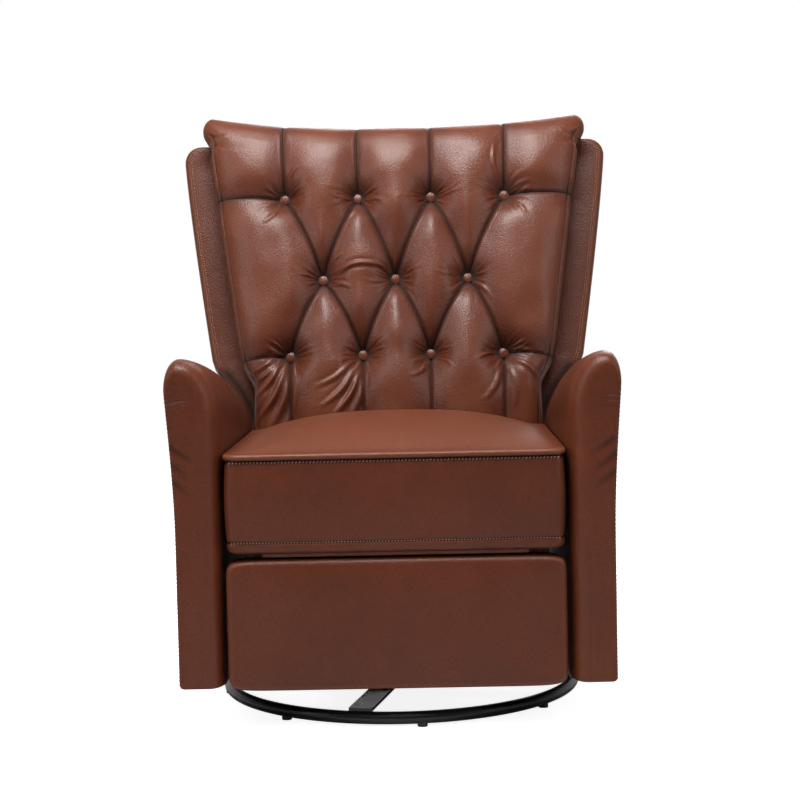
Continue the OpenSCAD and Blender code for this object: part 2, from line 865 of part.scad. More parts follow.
// room for the steel brackets beside the stiles
module bracket_slots(grow = 0) {
    for (side = [-1, 1])
        translate([side * (stile_in_x - plate_t / 2) - plate_t / 2, shell_front - grow, 0])
        cube([plate_t, frame_t + grow, frame_top]);
}

module back_stiles() {
    color(plywood) on_back() back_stile_bars();
}

module back_rails() {
    color(plywood) on_back() back_rail_bars();
}

// elastic straps across the front of the frame
strap_count = 5;
module back_webbing() {
    span = frame_top - frame_low - back_rail_h;
    first = frame_low + back_rail_h + span / strap_count / 2 - webbing_w;
    color([0.12, 0.12, 0.12]) on_back()
    for (k = [0 : strap_count - 1])
        translate([-stile_in_x - stile_w, cushion_back, first + span * k / strap_count])
        cube([2 * (stile_in_x + stile_w), webbing_t, webbing_w]);
}

// outline of the padded shell: narrow between the arms, wings above
shell_low = 25;
wing_corner = 30;
foot_corner = 18;
step_corner = 16;
corner_steps = 4;
function corner(c, r, from, to) = [
    for (k = [0 : corner_steps]) let (a = from + (to - from) * k / corner_steps) c + r * [cos(a), sin(a)]
];
side_steps = 4;
step_rise = 60;
function half_outline() = concat(
    [[back_low_x / 2, shell_low]],
    corner([back_low_x - foot_corner, shell_low + foot_corner], foot_corner, -90, 0),
    [[back_low_x, wing_low_z - step_rise], [back_low_x, wing_low_z]],
    corner([wing_low_x - step_corner, wing_low_z + step_corner], step_corner, -90, 0),
    [for (k = [1 : side_steps])
        let (t = k / (side_steps + 1))
        [wing_low_x + (wing_top_x - wing_low_x) * (1 - pow(1 - t, 1.15)),
         wing_low_z + (shell_top - wing_corner - wing_low_z) * t]],
    corner([wing_top_x - wing_corner, shell_top - wing_corner], wing_corner, 0, 90),
    [[wing_top_x / 2, shell_top]]
);
function shell_outline() =
    let (half = half_outline(), n = len(half))
    concat(half, [for (i = [0 : n - 1]) [-half[n - 1 - i][0], half[n - 1 - i][1]]]);

shell_shares = [
    [0.55, 0], [0.93, 0], [0.975, 0.05], [1, 0.2], [1, 0.8], [0.985, 0.94], [0.955, 1], [0.5, 1]
];
shell_mid_z = 430;
module shell_body() {
    outline = shell_outline();
    rings = [for (s = shell_shares)
        [for (p = outline) [p[0] * s[0], shell_front + shell_t * (1 - s[1]),
                            shell_mid_z + (p[1] - shell_mid_z) * s[0]]]];
    skin(rings, [0, shell_front + shell_t, shell_mid_z], [0, shell_front, shell_mid_z]);
}

// padded outer shell of the back with its two wings
module back_shell() {
    color(leather) on_back() difference() {
        shell_body();
        back_stile_bars(overrun);
        back_rail_bars(overrun);
        bracket_slots(overrun);
    }
}

// half width of the cushion at a distance up the back
cushion_low_x = back_low_x;
cushion_swell = 22;
cushion_mid_x = cushion_low_x + cushion_swell;
cushion_widen = 60;
arm_top_free = 228;
function cushion_half_w(z) =
    z < arm_top_free ? cushion_low_x
    : cushion_low_x + (cushion_mid_x - cushion_low_x) * smooth((z - arm_top_free) / cushion_widen)
        + (cushion_top_x - cushion_mid_x) * max(0, (z - arm_top_free) / (cushion_top - arm_top_free));

// rows of buttons: share of the cushion's height, then shares of its half width there
row_shares = [
    [0.788, [-0.612, -0.2036, 0.2036, 0.612]],
    [0.557, [-0.431, 0, 0.431]],
    [0.3465, [-0.6796, -0.2156, 0.2156, 0.6796]]
];
button_rows = [
    for (row = row_shares)
        let (z = cushion_low + (cushion_top - cushion_low) * row[0])
        [z, [for (share = row[1]) share * cushion_half_w(z)]]
];
buttons = [for (row = button_rows) for (x = row[1]) [x, row[0]]];

// seams that the tufts pull into the leather, as pairs of points
top_row = button_rows[0];
mid_row = button_rows[1];
low_row = button_rows[2];
seams = concat(
    [for (x = top_row[1]) [[x, top_row[0]], [x, cushion_top]]],
    [for (x = low_row[1]) [[x, low_row[0]], [x, cushion_low]]],
    [for (i = [0 : 2]) each [
        [[top_row[1][i], top_row[0]], [mid_row[1][i], mid_row[0]]],
        [[top_row[1][i + 1], top_row[0]], [mid_row[1][i], mid_row[0]]],
        [[low_row[1][i], low_row[0]], [mid_row[1][i], mid_row[0]]],
        [[low_row[1][i + 1], low_row[0]], [mid_row[1][i], mid_row[0]]]
    ]],
    [for (row = [top_row, low_row]) for (s = [-1, 1])
        [[s * row[1][3], row[0]], [s * cushion_half_w(row[0]), row[0]]]]
);
function seam_gap(p, s) =
    let (d = s[1] - s[0], t = min(1, max(0, ((p - s[0]) * d) / (d * d))))
    norm(p - s[0] - d * t);

// front of the tufted cushion: crowned, with tufts and seams drawn in
tuft_spread = 26;
seam_spread = 13;
seam_depth = 12;
function cushion_front(x, z) =
    let (
        u = min(1, abs(x) / cushion_half_w(z)),
        v = (z - cushion_low) / (cushion_top - cushion_low),
        across = sqrt(max(0, 1 - pow(u, 5))),
        along = pow(max(0, 1 - pow(abs(2 * v - 1), 7)), 0.5),
        tuft = max([for (b = buttons) exp(-pow(norm([x, z] - b) / tuft_spread, 2))]),
        seam = max([for (s = seams) exp(-pow(seam_gap([x, z], s) / seam_spread, 2))]),
        inward = tuft_depth * tuft + seam_depth * seam * (1 - tuft)
    )
    cushion_edge - (cushion_crown * min(1, 0.3 + v * 3) - inward) * across * along;

// ears at the two top corners, where the cover is pinched
ear_rise = 27;
function ear(u, v) = ear_rise * pow(abs(2 * u - 1), 5) * pow(v, 12);

grid_x = 29;
grid_z = 33;
function cushion_x(u, z) = cushion_half_w(z) * sin(90 * (2 * u - 1));
module back_cushion() {
    height = cushion_top - cushion_low;
    front = [for (j = [0 : grid_z - 1]) for (i = [0 : grid_x - 1])
        let (
            u = i / (grid_x - 1),
            w = j / (grid_z - 1),
            v = (1 - cos(180 * w)) / 2 * 0.5 + w * 0.5,
            z = cushion_low + height * v,
            x = cushion_x(u, z)
        )
        [x, cushion_front(x, z), z + ear(u, v)]];
    rim = concat(
        [for (i = [0 : grid_x - 1]) i],
        [for (j = [1 : grid_z - 1]) j * grid_x + grid_x - 1],
        [for (i = [grid_x - 2 : -1 : 0]) (grid_z - 1) * grid_x + i],
        [for (j = [grid_z - 2 : -1 : 1]) j * grid_x]
    );
    n = len(rim);
    edge = [for (k = rim) [front[k][0], cushion_back, front[k][2]]];
    base = grid_x * grid_z;
    faces = concat(
        [for (j = [0 : grid_z - 2]) for (i = [0 : grid_x - 2])
            each let (a = j * grid_x + i, b = a + 1, c = a + grid_x, d = c + 1)
                [[a, c, d], [a, d, b]]],
        [for (k = [0 : n - 1])
            each let (a = rim[k], b = rim[(k + 1) % n], c = base + k, d = base + (k + 1) % n)
                [[a, b, d], [a, d, c]]],
        [for (k = [0 : n - 1]) [base + n, base + k, base + (k + 1) % n]]
    );
    color(leather) on_back()
    polyhedron(
        points = concat(front, edge, [[0, cushion_back, (cushion_low + cushion_top) / 2]]),
        faces = faces,
        convexity = 8
    );
}

// leather-covered buttons in the tufts
button_h = 7;
button_sink = 3;
module back_buttons() {
    color(leather) on_back()
    for (b = buttons)
        translate([b[0], cushion_front(b[0], b[1]) + button_sink, b[1]])
        rotate([90, 0, 0])
        rotate_extrude($fn = 24) polygon([
            [0, 0], [button_r * 0.8, 0], [button_r, button_h * 0.3], [button_r * 0.92, button_h * 0.65],
            [button_r * 0.6, button_h * 0.92], [0, button_h]
        ]);
}

// steel angles that carry the wings on the lower part of the back
wing_plate_low = 130;
wing_plate_y = 55;
wing_plate_w = 50;
wing_plate_reach = 62;
gusset_h = 70;
module wing_brackets() {
    low = back_low_x;
    color(black_steel) on_back()
    both_sides() {
        translate([low, wing_plate_y, wing_plate_low])
        cube([wing_plate_t, wing_plate_w, wing_low_z - wing_plate_low]);
        translate([low, wing_plate_y, wing_low_z - wing_plate_t])
        cube([wing_plate_reach, wing_plate_w, wing_plate_t]);
        translate([low, wing_plate_y + wing_plate_w, wing_low_z]) rotate([90, 0, 0])
        linear_extrude(wing_plate_t) polygon([
            [0, 0], [0, -gusset_h], [wing_plate_t, -gusset_h], [wing_plate_reach, -wing_plate_t],
            [wing_plate_reach, 0]
        ]);
    }
}

// leg rest linkage
module front_leg_links() {
    color(black_steel)
    both_sides() difference() {
        bent_link(leg_front, leg_front_end, leg_crank_end, link_half_w, leg_layer);
        hole(leg_front, pin_r + run_fit, leg_layer);
        hole(leg_front_end, pin_r + run_fit, leg_layer);
        hole(leg_crank_end, pin_r + run_fit, leg_layer);
    }
}

module rear_leg_links() {
    color(black_steel)
    both_sides() difference() {
        flat_link(leg_rear, leg_rear_end, link_half_w, leg_layer);
        hole(leg_rear, pin_r + run_fit, leg_layer);
        hole(leg_rear_end, pin_r + side_fit, leg_layer);
    }
}

bar_half_w = 8;
module carrier_bars() {
    color(black_steel)
    both_sides() difference() {
        bent_link(leg_rear_end, leg_front_end, panel_pivot, bar_half_w, bar_layer);
        for (p = [leg_rear_end, leg_front_end, panel_pivot]) hole(p, pin_r, bar_layer);
    }
}

module carrier_bar_pins() {
    color(bright_steel)
    both_sides() {
        for (p = [leg_rear_end, leg_front_end]) pin_fixed_out(p, leg_layer);
        pin_fixed_in(panel_pivot, bar_layer);
    }
}

module control_bars() {
    color(black_steel)
    both_sides() difference() {
        flat_link(leg_crank_end, panel_low_pivot, bar_half_w, bar_layer);
        hole(leg_crank_end, pin_r, bar_layer);
        hole(panel_low_pivot, pin_r, bar_layer);
    }
}

module control_bar_pins() {
    color(bright_steel)
    both_sides() {
        pin_fixed_out(leg_crank_end, leg_layer);
        pin_fixed_in(panel_low_pivot, bar_layer);
    }
}

// angle brackets that hold the leg rest's board
flange_w = 22;
module panel_brackets() {
    x = layer_x(panel_layer);
    low = panel_low_pivot[1] - boss_r;
    high = panel_pivot_z + boss_r;
    color(black_steel)
    both_sides() {
        difference() {
            union() {
                flat_link(panel_pivot, panel_low_pivot, link_half_w, panel_layer);
                at_side([-rest_back_f, low], x) cube([panel_pivot_set, high - low, plate_t]);
            }
            hole(panel_pivot, pin_r + run_fit, panel_layer);
            hole(panel_low_pivot, pin_r + side_fit, panel_layer);
        }
        translate([x + plate_t, -rest_back_f, low]) cube([flange_w, plate_t, high - low]);
    }
}

// plywood board of the leg rest
board_margin = 14;
module panel_board() {
    color(plywood)
    translate([-rest_w / 2 + board_margin, -rest_back_f - rest_board_t, rest_z + board_margin])
    cube([rest_w - 2 * board_margin, rest_board_t, rest_h - 2 * board_margin]);
}

// padded leather face of the leg rest
rest_crown_share = 0.3;
module leg_rest_pad() {
    color(leather)
    translate([0, -rest_back_f - rest_board_t, rest_z + rest_h / 2])
    rotate([90, 0, 0])
    crowned_pad(rest_w, rest_h, rest_pad_t * (1 - rest_crown_share), rest_pad_t * rest_crown_share);
}

base_ring();
base_spider();
base_glides();
lower_race();
bearing_balls();
pivot_bolt();
pivot_nut();
upper_race();
centre_plate();
long_tubes();
cross_tubes();
arm_end_plates();
left_side_plate();
right_side_plate();
chassis_pins();
left_arm_board();
right_arm_board();
left_arm_cover();
right_arm_cover();
arm_bolts();
front_swing_links();
rear_swing_links();
left_carriage_plate();
right_carriage_plate();
carriage_pins();
seat_side_rails();
seat_cross_rails();
seat_springs();
seat_lip();
seat_cushion();
back_control_rods();
back_rod_pins();
back_brackets();
back_stiles();
back_rails();
back_webbing();
back_shell();
back_cushion();
back_buttons();
wing_brackets();
front_leg_links();
rear_leg_links();
carrier_bars();
carrier_bar_pins();
control_bars();
control_bar_pins();
panel_brackets();
panel_board();
leg_rest_pad();
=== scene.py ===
"""A leather swivel recliner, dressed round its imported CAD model."""

import json
import math

import bpy
import numpy as np
from bpy.props import FloatProperty, FloatVectorProperty, PointerProperty
from bpy.types import Operator, Panel, PropertyGroup
from mathutils import Matrix, Vector


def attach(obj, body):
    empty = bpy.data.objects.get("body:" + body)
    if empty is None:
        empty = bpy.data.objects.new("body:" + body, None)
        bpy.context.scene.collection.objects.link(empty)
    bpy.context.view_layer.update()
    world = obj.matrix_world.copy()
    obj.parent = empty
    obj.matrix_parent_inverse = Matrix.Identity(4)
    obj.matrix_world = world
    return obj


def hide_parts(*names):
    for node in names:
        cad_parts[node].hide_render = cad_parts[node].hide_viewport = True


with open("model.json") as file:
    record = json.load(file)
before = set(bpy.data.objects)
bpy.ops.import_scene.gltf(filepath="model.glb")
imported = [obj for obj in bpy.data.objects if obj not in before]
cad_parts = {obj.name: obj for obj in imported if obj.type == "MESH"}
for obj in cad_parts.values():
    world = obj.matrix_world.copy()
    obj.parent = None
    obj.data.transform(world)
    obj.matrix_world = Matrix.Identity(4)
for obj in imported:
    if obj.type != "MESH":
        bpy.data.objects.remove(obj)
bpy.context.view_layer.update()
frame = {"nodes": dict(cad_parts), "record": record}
nodes = frame["nodes"]

bl_info = {
    "name": "Leather swivel recliner",
    "version": (1, 0, 0),
    "blender": (4, 5, 0),
    "location": "3D View > Sidebar > Recliner",
    "description": "Dresses a packed recliner in leather, thread, wood and steel",
    "category": "Object",
}

MM = 0.001


# ---------------------------------------------------------------- sizes and colours


def length(name, words, value):
    return FloatProperty(name=name, description=words, default=value, min=0.0, unit="LENGTH", precision=4)


def colour(name, words, value):
    return FloatVectorProperty(
        name=name, description=words, default=value, subtype="COLOR", size=3, min=0.0, max=1.0
    )


class ReclinerSizes(PropertyGroup):
    tuft_depth: length("Tuft depth", "How deep the buttons pull the back cushion in", 0.034)
    seam_depth: length("Seam depth", "How deep the back cushion's seams pull in between buttons", 0.025)
    button_radius: length("Button radius", "Radius of a covered button", 0.0105)
    fold_height: length("Fold height", "Height of the folds that gather at a button", 0.0022)
    seam_spacing: length("Seam stitch spacing", "Spacing of the stitches along the seat's top seam", 0.0054)
    hem_spacing: length("Hem stitch spacing", "Spacing of the seat's lower row of stitches", 0.0048)
    arm_spacing: length("Arm stitch spacing", "Spacing of the stitches at the arms' outer edges", 0.0066)
    stitch_radius: length("Stitch radius", "Radius of the sewing thread", 0.0010)
    topstitch_spacing: length("Topstitch spacing", "Spacing of the fine stitches on the wings", 0.0045)
    grain: length("Leather grain", "Size of one pebble of the leather's grain", 0.0024)


class ReclinerColours(PropertyGroup):
    leather: colour("Leather", "Main colour of the leather", (0.086, 0.0188, 0.0064))
    # Dark leather for the grain's pits and the seam lines, also mixed in as painted shade in folds, creases,
    # tufts and gaps.
    leather_dark_and_shade: colour("Leather in folds", "Leather where it is drawn in", (0.016, 0.0040, 0.0018))
    # Painted highlight colour, mixed in on crests, rolled edges, fold tops and the seat's top where the light
    # falls.
    leather_painted_highlight: colour("Leather on crests", "Leather where it is stretched", (0.145, 0.0420, 0.0185))
    thread: colour("Thread", "Sewing thread", (0.26, 0.125, 0.075))
    steel: colour("Black steel", "Painted steel of the base and mechanism", (0.0045, 0.0045, 0.005))
    plywood: colour("Plywood", "Wooden frame", (0.52, 0.36, 0.20))
    floor: colour("Floor", "Studio floor", (0.62, 0.62, 0.62))


# ---------------------------------------------------------------- nodes


class Wire:
    """One output of a node, on which maths can be written out."""

    def __init__(self, nodes, socket):
        self.nodes = nodes
        self.socket = socket

    def maths(self, operation, first, second=0.0):
        return self.nodes.make("ShaderNodeMath", {"operation": operation}, {0: first, 1: second})

    def __add__(self, other):
        return self.maths("ADD", self, other)

    def __radd__(self, other):
        return self.maths("ADD", other, self)

    def __sub__(self, other):
        return self.maths("SUBTRACT", self, other)

    def __rsub__(self, other):
        return self.maths("SUBTRACT", other, self)

    def __mul__(self, other):
        return self.maths("MULTIPLY", self, other)

    def __rmul__(self, other):
        return self.maths("MULTIPLY", other, self)

    def size(self):
        return self.maths("ABSOLUTE", self)

    def ranged(self, low, high, to_low=0.0, to_high=1.0):
        settings = {"interpolation_type": "SMOOTHSTEP"}
        values = {0: self, 1: low, 2: high, 3: to_low, 4: to_high}
        return self.nodes.make("ShaderNodeMapRange", settings, values)


class Nodes:
    """A node tree under construction."""

    def __init__(self, tree):
        self.tree = tree

    def make(self, kind, settings=None, values=None, out=0):
        """Adds a node with its settings and its sockets' values or links; gives one of its outputs."""
        node = self.tree.nodes.new(kind)
        for key, value in (settings or {}).items():
            setattr(node, key, value)
        for key, value in (values or {}).items():
            self.plug(node.inputs[key], value)
        return Wire(self, node.outputs[out]) if node.outputs else node

    def plug(self, socket, value):
        if isinstance(value, Wire):
            self.tree.links.new(value.socket, socket)
        elif socket.type == "RGBA" and len(value) == 3:
            socket.default_value = (*value, 1.0)
        else:
            socket.default_value = value


class Repeat(Nodes):
    """A Geometry Nodes tree that lays out what repeats, on the points or the curve it is given."""

    def __init__(self, name, inputs):
        super().__init__(bpy.data.node_groups.new(name, "GeometryNodeTree"))
        sockets = {"Places": "Geometry", **inputs, "Material": "Material"}
        for title, kind in sockets.items():
            self.tree.interface.new_socket(title, in_out="INPUT", socket_type="NodeSocket" + kind)
        self.tree.interface.new_socket("Pieces", in_out="OUTPUT", socket_type="NodeSocketGeometry")

    def given(self, name):
        """One of the tree's inputs."""
        return self.make("NodeGroupInput", out=name)

    def turned(self, rotation, by):
        """A rotation, turned further about its own axes."""
        values = {"Rotation": rotation, "Rotate By": by}
        return self.make("FunctionNodeRotateRotation", {"rotation_space": "LOCAL"}, values)

    def end(self, **where):
        """One piece on each point, as real and smooth meshes with their material."""
        laid = self.make("GeometryNodeInstanceOnPoints", {}, where)
        real = self.make("GeometryNodeRealizeInstances", {}, {0: laid})
        soft = self.make("GeometryNodeSetShadeSmooth", {}, {0: real})
        dyed = self.make("GeometryNodeSetMaterial", {}, {0: soft, "Material": self.given("Material")})
        self.make("NodeGroupOutput", {}, {0: dyed})
        return self.tree


class Finish(Nodes):
    """A material under construction."""

    def __init__(self, name, shown):
        self.material = bpy.data.materials.new(name)
        self.material.use_nodes = True
        self.material.diffuse_color = (*shown, 1.0)
        super().__init__(self.material.node_tree)
        self.shader = self.tree.nodes["Principled BSDF"]

    def set(self, **values):
        for key, value in values.items():
            self.plug(self.shader.inputs[key.replace("_", " ")], value)

    def place(self, scale=(1.0, 1.0, 1.0)):
        where = self.make("ShaderNodeTexCoord", out="Object")
        return self.make("ShaderNodeMapping", {}, {"Vector": where, "Scale": scale})

    def noise(self, where, scale, detail=3.0, roughness=0.5, out=0):
        values = {"Vector": where, "Scale": scale, "Detail": detail, "Roughness": roughness}
        return self.make("ShaderNodeTexNoise", {}, values, out)

    def cells(self, where, scale, feature="F1"):
        values = {"Vector": where, "Scale": scale}
        return self.make("ShaderNodeTexVoronoi", {"feature": feature}, values, "Distance")

    def wave(self, where, scale, direction, distortion=0.0, detail=2.0, detail_scale=1.0):
        values = {"Vector": where, "Scale": scale, "Distortion": distortion}
        values |= {"Detail": detail, "Detail Scale": detail_scale}
        return self.make("ShaderNodeTexWave", {"bands_direction": direction}, values)

    def mix(self, factor, first, second):
        return self.make("ShaderNodeMix", {"data_type": "RGBA"}, {0: factor, 6: first, 7: second}, 2)

    def vector(self, operation, first, second, out=0):
        return self.make("ShaderNodeVectorMath", {"operation": operation}, {0: first, 1: second}, out)

    def attribute(self, name, out="Fac"):
        return self.make("ShaderNodeAttribute", {"attribute_name": name}, out=out)

    def near_line(self, where, start, end, width):
        """1 on a line between two places, falling to 0 over a width, thinning out towards its end."""
        line = [b - a for a, b in zip(start, end)]
        square = sum(c * c for c in line)
        off = self.vector("SUBTRACT", where, start)
        share = self.vector("DOT_PRODUCT", off, tuple(c / square for c in line), "Value")
        share = self.make("ShaderNodeMapRange", {}, {0: share})
        along = self.make("ShaderNodeVectorMath", {"operation": "SCALE"}, {0: tuple(line), "Scale": share})
        gap = self.vector("DISTANCE", off, along, "Value")
        return gap.ranged(width, 0.0) * (1.0 - share * share)

    def bump(self, height, distance, strength=1.0):
        values = {"Height": height, "Distance": distance, "Strength": strength}
        return self.make("ShaderNodeBump", {}, values, "Normal")


# ---------------------------------------------------------------- materials


def shaded(colour, share):
    """A colour times a number, no channel over 1."""
    return tuple(min(1.0, channel * share) for channel in colour)


def leather_finish(name, sizes, colours, has_tone=True, rough=0.37, shine=0.23, creases=()):
    """Full-grain leather: pebbles, fine pores, clouding, painted shade in folds and gaps, painted highlight
    on crests.
    """
    f = Finish(name, colours.leather)
    where = f.place()
    wander = f.make(
        "ShaderNodeVectorMath", {"operation": "MULTIPLY_ADD"},
        {0: f.noise(where, 40.0, 2.0, out="Color"), 1: (0.006, 0.006, 0.006), 2: where},
    )
    pebble = f.cells(wander, 1.0 / sizes.grain, "SMOOTH_F1")
    pore = f.cells(wander, 2.3 / sizes.grain)
    crack = f.cells(wander, 0.42 / sizes.grain, "DISTANCE_TO_EDGE")
    cloud = f.noise(where, 5.0, 4.0, 0.55)
    blotch = f.noise(where, 26.0, 3.0, 0.6)
    relief = f.noise(where, 70.0, 3.0, 0.6)
    broad = f.noise(where, 11.0, 2.0)
    base = f.mix(cloud.ranged(0.35, 0.68), shaded(colours.leather, 0.84), colours.leather)
    base = f.mix(blotch.ranged(0.42, 0.75, 0.0, 0.30), base, shaded(colours.leather, 1.22))
    base = f.mix(pebble.ranged(0.35, 0.75, 0.0, 0.28), base, colours.leather_dark_and_shade)
    height = (1.0 - pebble) * 1.2 + (1.0 - pore) * 0.12 + crack.ranged(0.0, 0.2) * 0.16
    height = height + relief * 0.8 + broad * 8.0
    gloss = rough + (blotch - 0.5) * 0.12 + pebble * 0.08
    if has_tone:
        # The per-point attribute is painted light and shade: below 0.5 it darkens the leather where shade
        # falls, above 0.5 it adds a painted highlight.
        tone = f.attribute("tone")
        base = f.mix(tone.ranged(0.5, 0.0, 0.0, 0.92), base, colours.leather_dark_and_shade)
        base = f.mix(tone.ranged(0.5, 1.0, 0.0, 0.55), base, colours.leather_painted_highlight)
        seam = f.attribute("seam").size().ranged(1.5, 0.5) * f.attribute("near").ranged(0.30, 0.50)
        base = f.mix(seam * 0.96, base, shaded(colours.leather_dark_and_shade, 0.6))
        ripple = f.noise(f.vector("MULTIPLY", f.attribute("ray", "Vector"), (5.2, 5.2, 2.0)), 1.0, 2.0, 0.55)
        gather = f.attribute("gather")
        height = height + ripple.ranged(0.35, 0.68) * gather * 3.4
        # Painted shade in the troughs of the folds that gather round the buttons.
        base = f.mix(ripple.ranged(0.44, 0.34) * gather * 0.45, base, colours.leather_dark_and_shade)
        gloss = gloss + tone.ranged(0.36, 0.0, 0.0, 0.5) + seam * 0.35
    for start, end, width, depth in creases:
        near = f.near_line(wander, start, end, width)
        height = height - near * depth
        # Painted shade along each crease on the arms' fronts.
        base = f.mix(near * 0.75, base, colours.leather_dark_and_shade)
    f.set(Base_Color=base, Roughness=gloss, Normal=f.bump(height, 0.00040, 0.85), Specular_IOR_Level=shine)


def thread_finish(colours):
    f = Finish("Thread", colours.thread)
    where = f.place()
    twist = f.wave(where, 900.0, "DIAGONAL", 1.0)
    base = f.mix(f.noise(where, 60.0), colours.thread, shaded(colours.thread, 0.6))
    f.set(Base_Color=base, Roughness=0.7, Normal=f.bump(twist, 0.0002, 0.6))


def black_steel_finish(colours):
    f = Finish("Black powder coat", colours.steel)
    where = f.place()
    peel = f.noise(where, 650.0, 2.0)
    dust = f.noise(where, 9.0, 5.0, 0.6)
    dusty = tuple(c * 2.0 + 0.002 for c in colours.steel)
    base = f.mix(dust.ranged(0.45, 0.8, 0.0, 0.5), colours.steel, dusty)
    gloss = 0.30 + (dust - 0.5) * 0.2
    f.set(Base_Color=base, Roughness=gloss, Normal=f.bump(peel, 0.00012, 0.5), Specular_IOR_Level=0.35)


def zinc_finish():
    f = Finish("Zinc plated steel", (0.6, 0.6, 0.62))
    brushed = f.noise(f.place((1.0, 14.0, 14.0)), 90.0, 3.0, 0.6)
    base = f.mix(f.cells(f.place(), 160.0), (0.52, 0.53, 0.55), (0.68, 0.68, 0.68))
    gloss = 0.26 + brushed * 0.22
    f.set(Base_Color=base, Metallic=1.0, Roughness=gloss, Normal=f.bump(brushed, 0.00005, 0.5))


def plywood_finish(colours):
    f = Finish("Plywood", colours.plywood)
    grain = f.wave(f.place((1.0, 0.06, 0.06)), 30.0, "X", 9.0, 4.0, 3.0)
    fibre = f.noise(f.place((60.0, 2.0, 2.0)), 12.0, 4.0, 0.6)
    knots = f.cells(f.place(), 7.0, "SMOOTH_F1")
    base = f.mix(grain.ranged(0.1, 0.9), shaded(colours.plywood, 0.78), colours.plywood)
    base = f.mix(fibre.ranged(0.4, 0.8, 0.0, 0.35), base, shaded(colours.plywood, 0.62))
    base = f.mix(knots.ranged(0.09, 0.02, 0.0, 0.6), base, (0.12, 0.06, 0.03))
    f.set(Base_Color=base, Roughness=0.62 + fibre * 0.2, Normal=f.bump(fibre + grain * 0.5, 0.0003, 0.6))


def webbing_finish():
    f = Finish("Elastic webbing", (0.05, 0.05, 0.05))
    weave = f.wave(f.place(), 260.0, "X") * f.wave(f.place(), 260.0, "Z")
    base = f.mix(weave, (0.018, 0.018, 0.018), (0.075, 0.075, 0.075))
    f.set(Base_Color=base, Roughness=0.85, Normal=f.bump(weave, 0.0005, 0.9))


def plastic_finish():
    f = Finish("Black glide plastic", (0.02, 0.02, 0.02))
    scuff = f.noise(f.place(), 220.0, 4.0, 0.7)
    base = f.mix(scuff.ranged(0.5, 0.8, 0.0, 0.5), (0.012, 0.012, 0.012), (0.05, 0.05, 0.05))
    f.set(Base_Color=base, Roughness=0.45 + scuff * 0.3, Normal=f.bump(scuff, 0.0002, 0.5))


# ---------------------------------------------------------------- mesh helpers


def placed(name, mesh):
    """An object for a mesh or a curve, in the scene."""
    obj = bpy.data.objects.new(name, mesh)
    bpy.context.scene.collection.objects.link(obj)
    return obj


def new_mesh_object(name, points, faces, material=None, **layers):
    """A smooth mesh object; each layer holds a number or a vector for every point."""
    mesh = bpy.data.meshes.new(name)
    mesh.from_pydata(np.asarray(points, float).tolist(), [], [list(map(int, f)) for f in faces])
    mesh.polygons.foreach_set("use_smooth", [True] * len(mesh.polygons))
    for key, values in layers.items():
        values = np.asarray(values, np.float32)
        is_vector = values.ndim == 2
        layer = mesh.attributes.new(key, "FLOAT_VECTOR" if is_vector else "FLOAT", "POINT")
        layer.data.foreach_set("vector" if is_vector else "value", values.ravel())
    if material is not None:
        mesh.materials.append(material)
    return placed(name, mesh)


def neighbours(n, start=0):
    """Numbers of each point of a closed ring and the next."""
    return [(start + i, start + (i + 1) % n) for i in range(n)]


def ring_faces(rings, n, start=0):
    """Quads between equal closed rings of points."""
    return [
        (i, j, j + n, i + n) for r in range(rings - 1) for i, j in neighbours(n, start + r * n)
    ]


def turned(faces):
    """The same faces, facing the other way."""
    return [face[::-1] for face in faces]


def loft(name, rings, tones, material, mids=(), flip=False):
    """A closed skin over rings of points in mm; two centre points close its ends, or else strips do."""
    n, top = len(rings[0]), (len(rings) - 1) * len(rings[0])
    points = np.concatenate([*rings, *([mid] for mid in mids)])
    tone = np.concatenate([*tones, [0.5] * len(mids)])
    faces = ring_faces(len(rings), n)
    if len(mids):
        first, last = top + n, top + n + 1
        for i, j in neighbours(n):
            faces += [(first, j, i), (last, top + i, top + j)]
    else:
        for i in range(n // 2 - 1):
            j = n - 1 - i
            faces += [(i, j, j - 1, i + 1), (top + i, top + i + 1, top + j - 1, top + j)]
    return new_mesh_object(name, points * MM, turned(faces) if flip else faces, material, tone=tone)


def smooth_step(t):
    t = np.clip(t, 0.0, 1.0)
    return t * t * (3.0 - 2.0 * t)


def bell(off, width, power=2):
    """1 where the distance is none, falling away over a width."""
    return np.exp(-((off / width) ** power))


def arc(mid_x, mid_z, wide, high, angles):
    """Points of an ellipse at some angles."""
    return np.stack([mid_x + wide * np.cos(angles), mid_z + high * np.sin(angles)], axis=1)


def degrees(start, end, count):
    return np.radians(np.linspace(start, end, count))


def even_outline(points, count):
    """Points spaced evenly along a closed outline."""
    points = np.asarray(points, float)
    loop = np.vstack([points, points[:1]])
    steps = np.linalg.norm(np.diff(loop, axis=0), axis=1)
    along = np.concatenate([[0.0], np.cumsum(steps)])
    wanted = np.linspace(0.0, along[-1], count, endpoint=False)
    return np.stack([np.interp(wanted, along, loop[:, k]) for k in range(points.shape[1])], axis=1)


BACK_TILT = math.radians(14.0)
HINGE = (205.0, 285.0)


def on_back(points):
    """From the back's own frame (across, away from the sitter, up the back) to the chair's, in mm."""
    x, y, z = np.moveaxis(np.asarray(points, float), -1, 0)
    c, s = math.cos(BACK_TILT), math.sin(BACK_TILT)
    return np.stack([x, HINGE[0] + y * c + z * s, HINGE[1] - y * s + z * c], axis=-1)


def at_depth(flat, depth):
    """Points in the back's plane, across and up it, put at a depth and in the chair's place."""
    return on_back(np.stack([flat[:, 0], np.full(len(flat), depth), flat[:, 1]], axis=1))


# ---------------------------------------------------------------- what repeats, by Geometry Nodes


